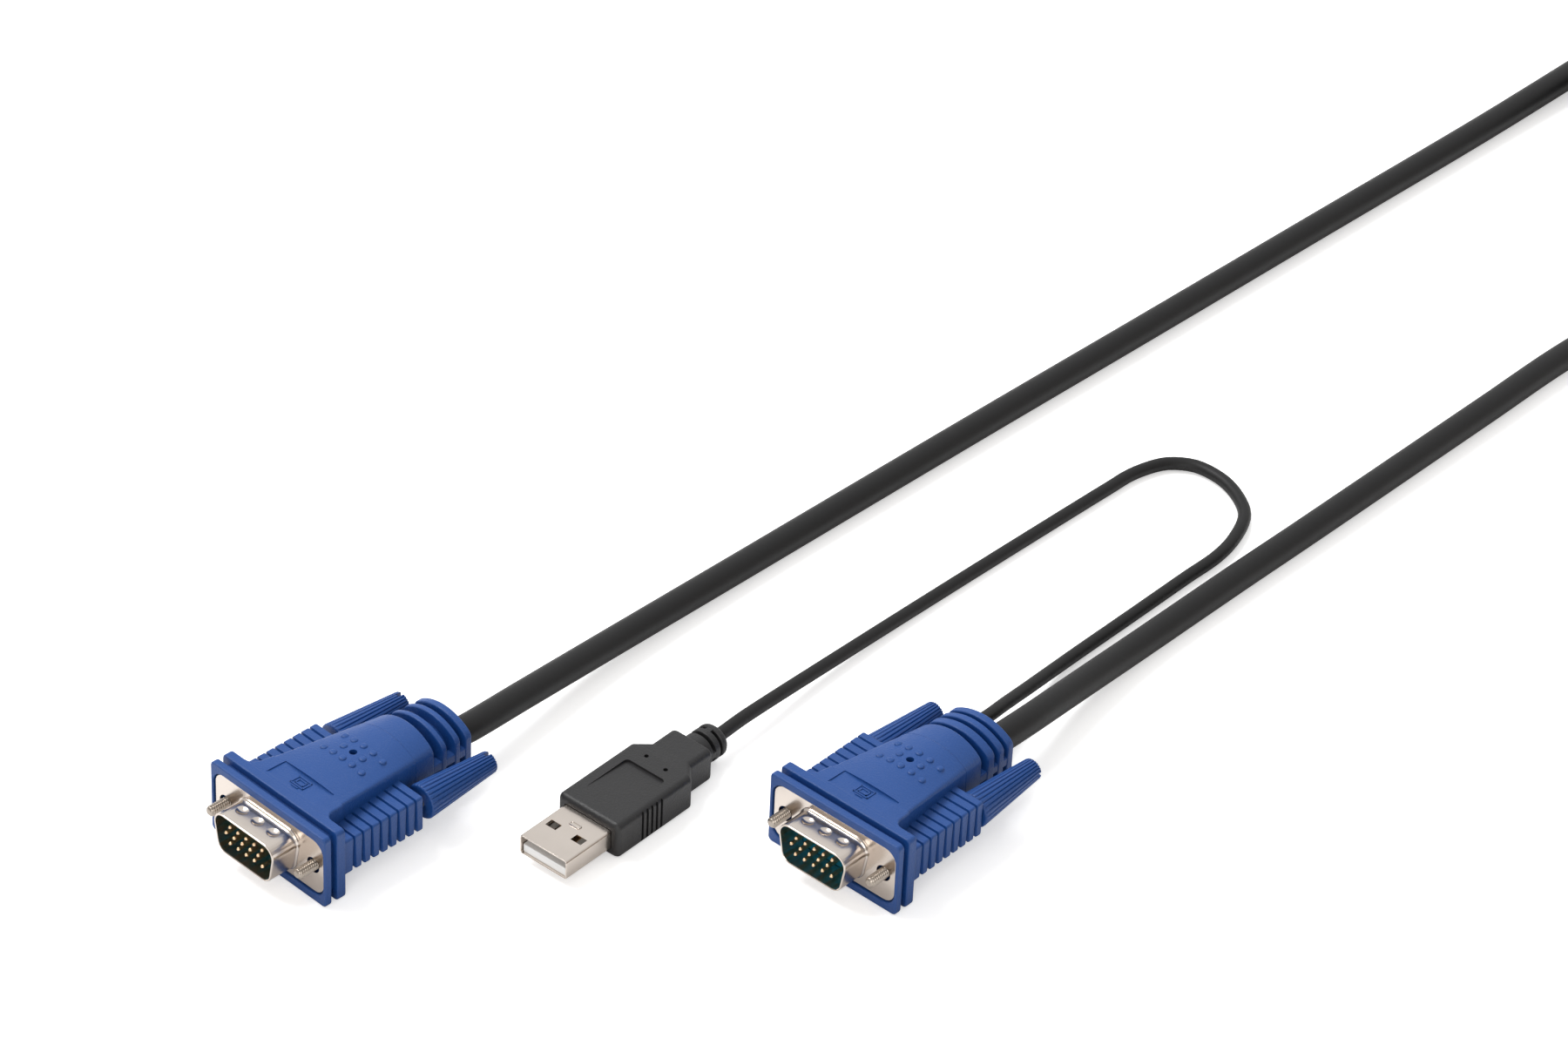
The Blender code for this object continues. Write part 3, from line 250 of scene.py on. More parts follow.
# Cables, m
USB_AXIS_HEIGHT = 0.0041
MAIN_WIDTH = 0.0060
USB_CABLE_WIDTH = 0.0028
MAIN_EXIT = 0.0019
USB_EXIT = -0.0044
CABLE_LEAD = 0.0015
CABLE_HIDDEN = 0.0020
COIL_AT = (0.01535, 0.3708)
COIL_OUTER = 0.0405
COIL_INNER = 0.0240
COIL_ENTRY = math.radians(177.8)
COIL_TURNS_DOWN = 2.75
COIL_TURNS_CLIMB = 0.25
COIL_TURNS_UP = 2.5
COIL_LIFT = 0.0011
COIL_STEPS = 48
TIE_WIDTH = 0.009
TIE_THICKNESS = 0.0008
EXIT_GAP = 0.0003
CABLE_SPACING = 0.002
USB_CABLE_SPACING = 0.0015
CURVE_STEPS = 24
ROUTE_A = [
    (-0.0348, -0.0059, 0.0082), (-0.0355, 0.0103, 0.0068), (-0.0367, 0.0366, 0.0044),
    (-0.0364, 0.0749, 0.0031), (-0.0351, 0.1134, 0.0030), (-0.0336, 0.1533, 0.0030),
    (-0.0319, 0.1945, 0.0030), (-0.0297, 0.2521, 0.0030), (-0.0274, 0.3128, 0.0030),
]
ROUTE_B = [
    (0.04095, 0.0732, 0.0078), (0.0391, 0.0917, 0.0052), (0.0379, 0.1097, 0.0034),
    (0.0378, 0.1432, 0.0030), (0.0381, 0.1658, 0.0030), (0.0386, 0.2248, 0.0030),
    (0.0389, 0.2555, 0.0030), (0.0420, 0.2900, 0.0030), (0.0495, 0.3220, 0.0044),
    (0.0546, 0.3480, 0.0078),
]
ROUTE_USB = [
    (0.0344, 0.0694, 0.0076), (0.0335, 0.0742, 0.0066), (0.0316, 0.0846, 0.0042),
    (0.0301, 0.0946, 0.0024), (0.0294, 0.1036, 0.0016), (0.0292, 0.1203, 0.0014),
    (0.0291, 0.1373, 0.0014), (0.0291, 0.1478, 0.0014), (0.0278, 0.1548, 0.0014),
    (0.0245, 0.1624, 0.0014), (0.0204, 0.1660, 0.0014), (0.0138, 0.1689, 0.0014),
    (0.0066, 0.1689, 0.0014), (0.0024, 0.1663, 0.0014), (0.0006, 0.1638, 0.0014),
    (-0.0013, 0.1574, 0.0014), (-0.0017, 0.1494, 0.0014), (-0.0025, 0.1251, 0.0014),
    (-0.0033, 0.0935, 0.0015), (-0.0031, 0.0616, 0.0026), (-0.0025, 0.0452, 0.0037),
    (-0.0022, 0.0373, 0.0041),
]

# Tie, mm
TIE_GAP = 0.3
TIE_SOFT = 0.1
TIE_CORNER = 1.0
# The flap's length, corner and distance from the strap's far side
FLAP = (13.0, 2.0, 3.0)
FLAP_SIDE = 0.3
FLAP_RISE = (-0.1, 0.55)

# Camera and light
CAMERA_AT = (0.6083014, -0.6671488, 0.7524805)
CAMERA_TURN = (0.7069371264512943, 0.6439274517423694, -0.04551354838798703)
CAMERA_LENS = 140.0
CAMERA_SENSOR = 36.0
FLOOR_SPANS = ((-3.0, 3.0), (-3.0, 3.0), (-0.02, 0.0))
FLOOR_GREY = 0.86
FLOOR_GLOW = 0.46
WORLD_LIGHT = 0.85
WORLD_STOPS = (
    (0.15, (0.30, 0.27, 0.24, 1.0)), (0.55, (0.62, 0.59, 0.56, 1.0)), (0.95, (1.0, 1.0, 1.0, 1.0)),
)
BRIGHT_SIDE = (-0.45, 0.45, 0.75)
# Each lamp: name, place, target, size and watts
LAMPS = (
    ("key", (-0.75, -0.25, 1.2), (0.0, 0.0, 0.0), 0.6, 10.0),
    ("front", (0.5, -0.9, 0.5), (0.0, 0.0, 0.0), 0.8, 3.4),
    ("back", (-0.55, 0.68, 0.55), (0.0, 0.08, 0.0), 0.35, 6.5),
)

# Shared values
SET = "cable_set"
MM = Matrix.Scale(0.001, 4)
# How far a cutting shape reaches past what it cuts, mm
PAST = 1.0
SHARP_ANGLE = math.radians(35)
MOTTLE = 0.06
MOTTLE_SCALE = 160.0
ROUGHNESS_SPREAD = 0.12


def link(item):
    bpy.context.scene.collection.objects.link(item)
    return item


# Materials


def surface(name, colour, roughness, metallic=0.0, grain=0.0, grain_scale=1500.0, specular=0.5):
    """A material whose colour, roughness and relief vary finely; the grain is a relief in metres."""
    made = bpy.data.materials.new(name)
    made.use_nodes = True
    nodes = made.node_tree.nodes
    links = made.node_tree.links
    shader = nodes["Principled BSDF"]
    shader.inputs["Base Color"].default_value = (*colour, 1.0)
    shader.inputs["Roughness"].default_value = roughness
    shader.inputs["Metallic"].default_value = metallic
    shader.inputs["Specular IOR Level"].default_value = specular
    place = nodes.new("ShaderNodeTexCoord")
    broad = nodes.new("ShaderNodeTexNoise")
    broad.inputs["Scale"].default_value = MOTTLE_SCALE
    broad.inputs["Detail"].default_value = 4.0
    links.new(place.outputs["Object"], broad.inputs["Vector"])
    tint = nodes.new("ShaderNodeMix")
    tint.data_type = "RGBA"
    tint.inputs["A"].default_value = (*[c * (1 - MOTTLE) for c in colour], 1.0)
    tint.inputs["B"].default_value = (*[min(c * (1 + MOTTLE), 1.0) for c in colour], 1.0)
    links.new(broad.outputs["Fac"], tint.inputs["Factor"])
    links.new(tint.outputs["Result"], shader.inputs["Base Color"])
    rough = nodes.new("ShaderNodeMapRange")
    rough.inputs["To Min"].default_value = roughness * (1 - ROUGHNESS_SPREAD)
    rough.inputs["To Max"].default_value = min(roughness * (1 + ROUGHNESS_SPREAD), 1.0)
    links.new(broad.outputs["Fac"], rough.inputs["Value"])
    links.new(rough.outputs["Result"], shader.inputs["Roughness"])
    if grain:
        fine = nodes.new("ShaderNodeTexNoise")
        fine.inputs["Scale"].default_value = grain_scale
        fine.inputs["Detail"].default_value = 3.0
        links.new(place.outputs["Object"], fine.inputs["Vector"])
        bump = nodes.new("ShaderNodeBump")
        bump.inputs["Distance"].default_value = grain
        bump.inputs["Strength"].default_value = 1.0
        links.new(fine.outputs["Fac"], bump.inputs["Height"])
        links.new(bump.outputs["Normal"], shader.inputs["Normal"])
    return made


# Meshes


def finished(name, work):
    bmesh.ops.recalc_face_normals(work, faces=work.faces)
    mesh = bpy.data.meshes.new(name)
    work.to_mesh(mesh)
    work.free()
    return mesh


def bridge(work, here, there):
    for i in range(len(here)):
        j = (i + 1) % len(here)
        work.faces.new((here[i], here[j], there[j], there[i]))


def add_loft(work, rings, closed=False):
    """A solid through rings of equally many points: with flat ends, or closed back onto its first ring."""
    loops = [[work.verts.new(point) for point in ring] for ring in rings]
    for here, there in zip(loops, loops[1:]):
        bridge(work, here, there)
    if closed:
        bridge(work, loops[-1], loops[0])
    else:
        work.faces.new(loops[0])
        work.faces.new(loops[-1])


def loft(*solids, closed=False):
    """One mesh of separate lofted solids."""
    work = bmesh.new()
    for rings in solids:
        add_loft(work, rings, closed)
    return finished("loft", work)


def boxes(*spans):
    """One mesh of separate boxes, each given by its spans in x, y and z."""
    work = bmesh.new()
    for span in spans:
        cube = bmesh.ops.create_cube(work, size=1.0)["verts"]
        bmesh.ops.scale(work, vec=[high - low for low, high in span], verts=cube)
        bmesh.ops.translate(work, vec=[(low + high) / 2 for low, high in span], verts=cube)
    return finished("boxes", work)


def joined(*meshes):
    """One mesh of several."""
    work = bmesh.new()
    for mesh in meshes:
        work.from_mesh(mesh)
        bpy.data.meshes.remove(mesh)
    mesh = bpy.data.meshes.new("joined")
    work.to_mesh(mesh)
    work.free()
    return mesh


def carved(mesh, *cutters):
    """The mesh less the cutters."""
    item = link(bpy.data.objects.new("carved", mesh))
    others = [link(bpy.data.objects.new("cutter", cutter)) for cutter in cutters]
    for other in others:
        modifier = item.modifiers.new("cut", "BOOLEAN")
        modifier.object = other
    graph = bpy.context.evaluated_depsgraph_get()
    made = bpy.data.meshes.new_from_object(item.evaluated_get(graph))
    for done in [item] + others:
        bpy.data.objects.remove(done)
    return made


def piece(name, mesh, look, body, place, replaces):
    """A shown piece that rides on a body, from a mesh in millimetres in a plug's frame."""
    mesh.transform(MM)
    mesh.materials.clear()
    mesh.materials.append(look)
    mesh.shade_smooth()
    mesh.set_sharp_from_angle(angle=SHARP_ANGLE)
    item = link(bpy.data.objects.new(name, mesh))
    item.matrix_world = place
    normals = item.modifiers.new("normals", "WEIGHTED_NORMAL")
    normals.keep_sharp = True
    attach(item, body)
    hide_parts(*replaces)
    return item


# Outlines


def arc(centre, radius, start, end, steps):
    angles = [start + (end - start) * i / steps for i in range(steps + 1)]
    return [(centre[0] + radius * math.cos(a), centre[1] + radius * math.sin(a)) for a in angles]


def rounded(width, height, corner, steps=5):
    """Outline of a rectangle with round corners."""
    x = width / 2 - corner
    z = height / 2 - corner
    quarter = math.pi / 2
    outline = []
    for i, centre in enumerate(((x, z), (-x, z), (-x, -z), (x, -z))):
        outline += arc(centre, corner, i * quarter, (i + 1) * quarter, steps)
    return outline


def circle(radius, sides=32, at=(0.0, 0.0)):
    return arc(at, radius, 0.0, math.tau * (sides - 1) / sides, sides - 1)


def d_outline(grow=0.0):
    """Outline of the D, grown on all sides: its sides slant in towards the bottom."""
    steps = 8
    height = D_HEIGHT + 2 * grow
    corner = D_CORNER + grow
    half = height / 2
    top = D_WIDTH / 2 + grow * (1 + math.tan(D_SLANT / 2))
    bottom = top - height * math.tan(D_SLANT)
    top_in = corner * math.tan((math.pi / 2 + D_SLANT) / 2)
    bottom_in = corner * math.tan((math.pi / 2 - D_SLANT) / 2)
    right = -D_SLANT
    outline = arc((top - top_in, half - corner), corner, right, math.pi / 2, steps)
    outline += arc((-top + top_in, half - corner), corner, math.pi / 2, math.pi - right, steps)
    outline += arc((-bottom + bottom_in, corner - half), corner, math.pi - right, 1.5 * math.pi, steps)
    outline += arc((bottom - bottom_in, corner - half), corner, -math.pi / 2, right, steps)
    return outline


def dense(outline, model, step):
    """The outline with its edges divided as the model outline's edges need for this step."""
    points = []
    for i in range(len(outline)):
        j = (i + 1) % len(outline)
        a, b = Vector(outline[i]), Vector(outline[j])
        count = max(math.ceil((Vector(model[j]) - Vector(model[i])).length / step), 1)
        points += [tuple(a.lerp(b, k / count)) for k in range(count)]
    return points


def arched(half_width, crown, rise, corner):
    """Outline with an arched top and bottom, upright sides and soft edges."""
    steps, bend = 24, 6
    base = half_width - CORNER_BASE
    radius = (base**2 + rise**2) / (2 * rise)
    half = half_width - corner
    slope = half / math.sqrt(radius**2 - half**2)
    edge = crown - radius + math.sqrt(radius**2 - half**2)
    bends = ((half_width, edge - corner * (slope + 1)), (half_width, edge - corner * slope), (half, edge))
    soft = []
    for i in range(bend):
        t = i / bend
        a, b, c = (1 - t) ** 2, 2 * t * (1 - t), t * t
        soft.append(tuple(a * p + b * q + c * r for p, q, r in zip(*bends)))
    across = [half * math.cos(math.pi * i / steps) for i in range(steps + 1)]
    top = [(x, crown - radius + math.sqrt(radius**2 - x**2)) for x in across]
    upper = soft + top + [(-x, z) for x, z in reversed(soft)]
    return upper + [(-x, -z) for x, z in upper]


def along_y(outline, y):
    """The outline's points at this y."""
    return [(x, y, z) for x, z in outline]


def slab(section, y0, y1, edge, steps=4):
    """A plate from y0 to y1 with round edges; section(inset) is its outline."""
    turns = [math.pi / 2 * i / steps for i in range(steps + 1)]
    front = [along_y(section(edge * (1 - math.sin(a))), y0 + edge * (1 - math.cos(a))) for a in turns]
    turns.reverse()
    back = [along_y(section(edge * (1 - math.sin(a))), y1 - edge * (1 - math.cos(a))) for a in turns]
    return front + back


# D plug


def body_at(y, length):
    """Half width, crown and rise of the hood's body at this distance behind the front face."""
    share = min(max((y - COLLAR_LENGTH) / length, 0.0), 1.0)
    half_width = (BODY_FRONT_WIDTH + share * (BODY_REAR_WIDTH - BODY_FRONT_WIDTH)) / 2
    rise = BODY_FRONT_RISE + share * (BODY_REAR_RISE - BODY_FRONT_RISE)
    return half_width, BODY_CROWN - share * BODY_TOP_FALL, rise


def top_height(x, y, length):
    """Height of the body's arched top at a place."""
    half_width, crown, rise = body_at(y, length)
    radius = ((half_width - CORNER_BASE) ** 2 + rise**2) / (2 * rise)
    return crown - radius + math.sqrt(radius**2 - x**2)


def body_section(y, length, grow=0.0, inset=0.0):
    """The body's outline at y: grown sideways only, or inset all round."""
    half_width, crown, rise = body_at(y, length)
    share = min(max((y - COLLAR_LENGTH) / length, 0.0), 1.0)
    corner = BODY_CORNER[0] + share * (BODY_CORNER[1] - BODY_CORNER[0])
    return along_y(arched(half_width + grow - inset, crown - inset, rise, corner), y)


def collar():
    """Two plates, the groove between them, and the window that holds the flange."""
    def section(inset, y):
        return along_y(rounded(COLLAR_WIDTH - 2 * inset, COLLAR_HEIGHT - 2 * inset, COLLAR_CORNER), y)

    turns = [math.pi / 2 * i / 4 for i in range(5)]

    def opening(y, edge):
        return [section(edge * (1 - math.sin(a)), y + edge * (1 - math.cos(a))) for a in turns]

    def closing(y, edge):
        return [section(edge * (1 - math.sin(a)), y - edge * (1 - math.cos(a))) for a in reversed(turns)]

    rear = FRONT_PLATE + COLLAR_GROOVE
    width, height, corner = FLANGE
    bevel, depth = WINDOW_BEVEL
    window = rounded(width + 2 * WINDOW_GAP, height + 2 * WINDOW_GAP, corner + WINDOW_GAP)
    rings = [along_y(window, FLANGE_BACK), along_y(window, depth)]
    rings.append(along_y(rounded(width + 2 * bevel, height + 2 * bevel, corner + bevel), 0.0))
    rings += opening(0.0, SOFT_EDGE) + closing(FRONT_PLATE, SOFT_EDGE)
    rings += [section(COLLAR_GROOVE_DEPTH, FRONT_PLATE), section(COLLAR_GROOVE_DEPTH, rear)]
    rings += opening(rear, SOFT_EDGE) + closing(COLLAR_LENGTH, SOFT_EDGE)
    holes = [
        [along_y(circle(SCREW_HOLE / 2, 32, (x, 0.0)), y) for y in (-PAST, COLLAR_HOLE_END)]
        for x in (-SCREW_AT, SCREW_AT)
    ]
    return carved(loft(rings), loft(*holes))


def hood_body(length):
    """The tapering, arched body with its recess and pit."""
    rings = []
    for i in range(9):
        angle = math.pi / 2 * i / 8
        y = COLLAR_LENGTH + BODY_FILLET * (1 - math.cos(angle))
        rings.append(body_section(y, length, grow=BODY_FILLET * (1 - math.sin(angle))))
    rings.insert(0, [(x, COLLAR_LENGTH - ROOT, z) for x, y, z in rings[0]])
    rear = COLLAR_LENGTH + length
    line = rear - PART_LINE
    rings = [[(x + math.copysign(BODY_STEP, x), y, z) for x, y, z in ring] for ring in rings]
    rings.append(body_section(BODY_STEP_AT - BODY_STEP_RAMP, length, grow=BODY_STEP))
    rings.append(body_section(BODY_STEP_AT, length))
    for share in (0.15, 0.3, 0.45, 0.6, 0.75, 0.9):
        rings.append(body_section(BODY_STEP_AT + share * (line - BODY_STEP_AT), length))
    for y, inset in (
        (line - PART_LINE_HALF, 0.0), (line, PART_LINE_DEPTH), (line + PART_LINE_HALF, 0.0),
        (line + PART_LINE / 2, 0.0),
    ):
        rings.append(body_section(y, length, inset=inset))
    for i in range(5):
        angle = math.pi / 2 * i / 4
        inset = BODY_EDGE * (1 - math.cos(angle))
        rings.append(body_section(rear - BODY_EDGE + BODY_EDGE * math.sin(angle), length, inset=inset))
    above = BODY_CROWN + PAST
    profile = [
        (RECESS_FRONT, BODY_CROWN - RECESS_LIP), (RECESS_RAMP, BODY_CROWN - RECESS_DEPTHS[0]),
        (RECESS_REAR, BODY_CROWN - RECESS_DEPTHS[1]), (RECESS_REAR, above), (RECESS_FRONT, above),
    ]
    wedge = loft([[(x, y, z) for y, z in profile] for x in (-RECESS_HALF, RECESS_HALF)])
    pit = [
        [(x, DOT_ROWS[1] + y, z) for x, y in circle(PIT_WIDTH / 2)]
        for z in (BODY_CROWN - PIT_DEPTH, above)
    ]
    return carved(loft(rings), wedge, loft(pit))


def ears():
    """The ribbed blocks on both sides."""
    outer = COLLAR_WIDTH / 2 - EAR_INSET
    inner = BODY_REAR_WIDTH / 2 - EAR_ROOT

    def section(middle, offset, inset, side):
        x = outer - inset
        z = EAR_HEIGHT / 2 - inset * EAR_GROOVE_TOP
        cut = EAR_CHAMFER
        low = [(inner, -z)] + arc((x - cut, cut - z), cut, -math.pi / 2, 0.0, 4)
        high = arc((x - cut, z - cut), cut, 0.0, math.pi / 2, 4) + [(inner, z)]
        flared = [(side * px, middle + offset * EAR_GROOVE_FLARE, pz) for px, pz in low]
        return flared + [(side * px, middle + offset, pz) for px, pz in high]

    solids = []
    wide = EAR_GROOVE_WIDTH / 2
    floor = EAR_GROOVE_FLOOR / 2
    for side in (-1, 1):
        rings = [section(COLLAR_LENGTH - ROOT, 0.0, 0.0, side)]
        for i in range(EAR_GROOVES):
            middle = COLLAR_LENGTH + EAR_GROOVE_FIRST + i * EAR_GROOVE_PITCH
            for way, first in ((-1, True), (1, False)):
                steps = [(wide + EAR_SOFT, 0.0), (wide, EAR_SOFT / 2), (floor, EAR_GROOVE_DEPTH)]
                for offset, inset in steps if first else reversed(steps):
                    rings.append(section(middle, way * offset, inset, side))
        for back, inset in EAR_REAR_EDGE:
            rings.append(section(EAR_REAR - back, 0.0, inset, side))
        solids.append(rings)
    return loft(*solids)


def boot(length, width, plates):
    """The strain relief: core, plates and the bar that joins the plates at half height."""
    rear = COLLAR_LENGTH + length
    total = sum(plates[-1])
    solids = []
    for start, thickness in plates:
        crown = BOOT_CROWN + (BOOT_REAR_CROWN - BOOT_CROWN) * start / total

        def section(inset, crown=crown):
            return arched(width / 2 - inset, crown - inset, BOOT_RISE, BOOT_CORNER)

        solids.append(slab(section, rear + start, rear + start + thickness, BOOT_EDGE))
    core = arched(width / 2 - BOOT_CORE_INSET, BOOT_REAR_CROWN - BOOT_CORE_INSET, BOOT_RISE, BOOT_CORNER)
    solids.append([along_y(core, rear - SEAT), along_y(core, rear + total - SEAT)])
    bar = rounded(width - BOOT_BAR_INSET, BOOT_BAR_HEIGHT, BOOT_EDGE)
    solids.append([along_y(bar, rear - SEAT), along_y(bar, rear + total - BOOT_BAR_INSET)])
    return loft(*solids)


def dots(length):
    """Low domes in three rows round the pit."""
    middle = DOT_ROWS[1]
    places = [(i * DOT_PITCH, y) for y in (DOT_ROWS[0], DOT_ROWS[2]) for i in (-2, -1, 0, 1, 2)]
    places += [(-DOT_PITCH, middle), (DOT_PITCH, middle)]
    solids = []
    for x, y in places:
        base = top_height(x, y, length)
        rings = [[(x + px, y + py, base - DOT_ROOT) for px, py in circle(DOT_WIDTH / 2, 24)]]
        for i in range(5):
            angle = math.pi / 2 * i / 5
            radius = DOT_WIDTH / 2 * math.cos(angle) ** DOT_ROUND
            height = base + DOT_HEIGHT * math.sin(angle)
            rings.append([(x + px, y + py, height) for px, py in circle(radius, 24)])
        solids.append(rings)
    return loft(*solids)


def screen_mark():
    """A plain outline of a monitor on a foot, raised in the recess."""
    slope = (RECESS_DEPTHS[1] - RECESS_DEPTHS[0]) / (RECESS_REAR - RECESS_RAMP)
    spans = []
    for half_x, y0, y1 in MARK_FRAMES:
        spans += [(-half_x, half_x, y0, y0 + MARK_LINE), (-half_x, half_x, y1 - MARK_LINE, y1)]
        spans += [(-half_x, -half_x + MARK_LINE, y0, y1), (half_x - MARK_LINE, half_x, y0, y1)]
    foot, y = MARK_FOOT
    spans.append((-foot, foot, y, y + MARK_LINE))
    solids = []
    for x0, x1, y0, y1 in spans:
        tops = [BODY_CROWN - RECESS_DEPTHS[0] - slope * (y - RECESS_RAMP) + MARK_RISE for y in (y0, y1)]
        solids.append([
            [(x, y0, tops[0]), (x, y1, tops[1]), (x, y1, tops[1] - SEAT), (x, y0, tops[0] - SEAT)]
            for x in (x0, x1)
        ])
    return loft(*solids)


def nose():
    """The D round the pins, from its root bead to its lip and back inside, with its dents."""
    model = d_outline()
    reach = D_REACH - D_LIP - D_FLAT_START
    profile = list(D_BEAD)
    profile += [(-D_FLAT_START - reach * i / D_STEPS, 0.0) for i in range(1, D_STEPS + 1)]
    profile += [(-D_REACH + y, grow) for y, grow in D_RIM]
    profile.append((D_ROOT, -D_WALL))
    rings = []
    for y, grow in profile:
        ring = []
        for x, z in dense(d_outline(grow), model, D_POINT_STEP):
            drop = 0.0
            for i in (-1, 0, 1):
                away = math.hypot(x - i * DENT_SPACING, (y + DENT_FRONT) * DENT_SQUEEZE) / DENT_RADIUS
                if abs(z) > D_HEIGHT / 2 - D_FACE and grow == 0.0:
                    drop += DENT_PULL * math.exp(-((away / DENT_PULL_REACH) ** 2))
                    if away < 1:
                        drop += DENT_DEPTH * (1 - away**2) ** DENT_ROUND
            ring.append((x, y, z - math.copysign(drop, z)))
        rings.append(ring)
    return loft(rings, closed=True)


def flange():
    """The flange's plate with its two screw holes."""
    def section(inset):
        return rounded(FLANGE[0] - 2 * inset, FLANGE[1] - 2 * inset, FLANGE[2] - inset)

    plate = loft(slab(section, FLANGE_FRONT, FLANGE_BACK, FLANGE_EDGE, 3))
    holes = [
        [along_y(circle(SCREW_HOLE / 2, 40, (x, 0.0)), y) for y in (0.0, FLANGE_HOLE_END)]
        for x in (-SCREW_AT, SCREW_AT)
    ]
    return carved(plate, loft(*holes))


def pins():
    """Fifteen pins with round tips, in three rows: the middle row is half a pitch to one side."""
    solids = []
    radius = PIN_WIDTH / 2
    for row in (1, 0, -1):
        for column in range(5):
            x = PIN_PITCH * (column - 2) - (PIN_PITCH / 2 if row == 0 else 0.0)
            at = (x, row * PIN_ROW_PITCH)
            rings = []
            for i in range(6):
                angle = math.pi / 2 * (i + 0.6) / 5.6
                y = -PIN_TIP + PIN_DOME * (1 - math.cos(angle))
                rings.append(along_y(circle(radius * math.sin(angle), 20, at), y))
            rings.append(along_y(circle(radius, 20, at), PIN_REAR))
            solids.append(rings)
    return loft(*solids)


def threaded_screw(end):
    """A screw along Y from its tip, threaded in front and plain behind."""
    sides = 40
    sharp, flat = THREAD_SHAPE
    rings = []
    steps = round((THREAD_END - SCREW_TIP) / THREAD_PITCH * THREAD_STEPS)
    for i in range(steps + 1):
        y = SCREW_TIP + (THREAD_END - SCREW_TIP) * i / steps
        ring = []
        for k in range(sides):
            angle = math.tau * k / sides
            phase = (y / THREAD_PITCH - k / sides) % 1.0
            depth = THREAD_DEPTH * min(max(abs(2 * phase - 1) * sharp - flat, 0.0), 1.0)
            tip = SCREW_WIDTH / 2 - SCREW_NOSE[0] * (1 - min((y - SCREW_TIP) / SCREW_NOSE[1], 1.0)) ** 2
            radius = min(SCREW_WIDTH / 2 - depth, tip)
            ring.append((radius * math.cos(angle), y, radius * math.sin(angle)))
        rings.append(ring)
    thinner, after = SCREW_PLAIN
    plain = circle(SCREW_WIDTH / 2 - thinner, sides)
    rings += [along_y(plain, THREAD_END + after), along_y(plain, end)]
    return loft(rings)


def handle(front, upright):
    """The ribbed handle along Y, with its slot upright or across."""
    rear = front + HANDLE_LENGTH
    sides = HANDLE_RIBS * HANDLE_RIB_POINTS

    def section(y, radius, depth):
        ring = []
        for k in range(sides):
            angle = math.tau * k / sides
            wave = abs(((k / HANDLE_RIB_POINTS) % 1.0) * 2 - 1)
            reach = radius - depth * max(0.0, 1.0 - wave * HANDLE_RIB_SHAPE)
            ring.append((reach * math.cos(angle), y, reach * math.sin(angle)))
        return ring

    wide = HANDLE_FRONT_WIDTH / 2
    thin = HANDLE_REAR_WIDTH / 2
    rings = []
    for i in range(5):
        angle = math.pi / 2 * i / 4
        rings.append(section(
            front + HANDLE_EDGE * (1 - math.cos(angle)), wide - HANDLE_EDGE * (1 - math.sin(angle)),
            HANDLE_RIB_DEPTH * i / 6,
        ))
    for i in range(1, 12):
        share = i / 12
        y = front + HANDLE_EDGE + share * (HANDLE_LENGTH - 2 * HANDLE_EDGE)
        rings.append(section(y, wide + share * (thin - wide), HANDLE_RIB_DEPTH))
    for i in range(5):
        angle = math.pi / 2 * i / 4
        y = rear - HANDLE_EDGE * (1 - math.sin(angle))
        rings.append(section(y, thin - HANDLE_EDGE * (1 - math.cos(angle)), HANDLE_RIB_DEPTH))
    along, across = (-thin - PAST, thin + PAST), (-SLOT_WIDTH / 2, SLOT_WIDTH / 2)
    ends = (rear - SLOT_DEPTH, rear + PAST)
    slot = boxes((across, ends, along) if upright else (along, ends, across))
    return carved(loft(rings), slot)


def d_plug(tag):
    """One D plug, placed by its two thumbscrew joints."""
    length, width, plates, gap = PLUGS[tag]
    joints = [joint for joint in frame["joints"] if joint["child"].startswith(f"thumbscrew_{tag}_")]
    middle = (Vector(joints[0]["pos_m"]) + Vector(joints[1]["pos_m"])) / 2
    back = Vector(joints[0]["axis"]).normalized()
    up = Vector((0, 0, 1))
    place = Matrix.Translation(middle) @ Matrix((back.cross(up), back, up)).transposed().to_4x4()
    relief = boot(length, width, plates)
    hood = joined(collar(), hood_body(length), ears(), relief, dots(length), screen_mark())
    piece(f"hood_shell_{tag}", hood, BLUE, SET, place, [f"hood_{tag}"])
    shell = joined(flange(), nose())
    piece(f"front_shell_{tag}", shell, NICKEL, SET, place, [f"d_shell_{tag}"])
    nodes = [f"pin_{tag}_{i:02d}" for i in range(1, 16)]
    piece(f"pins_{tag}", pins(), GOLD, SET, place, nodes)
    for side, x in (("left", -SCREW_AT), ("right", SCREW_AT)):
        on_axis = place @ Matrix.Translation((x / 1000, 0, 0))
        body = f"thumbscrew_{tag}_{side}"
        front = EAR_REAR + gap
        screw = threaded_screw(front + SCREW_IN_HANDLE)
        piece(f"thread_{tag}_{side}", screw, STEEL, body, on_axis, [f"screw_{tag}_{side}"])
        grip = handle(front, upright=tag == "a")
        piece(f"grip_{tag}_{side}", grip, BLUE, body, on_axis, [f"handle_{tag}_{side}"])
    return place


# USB plug


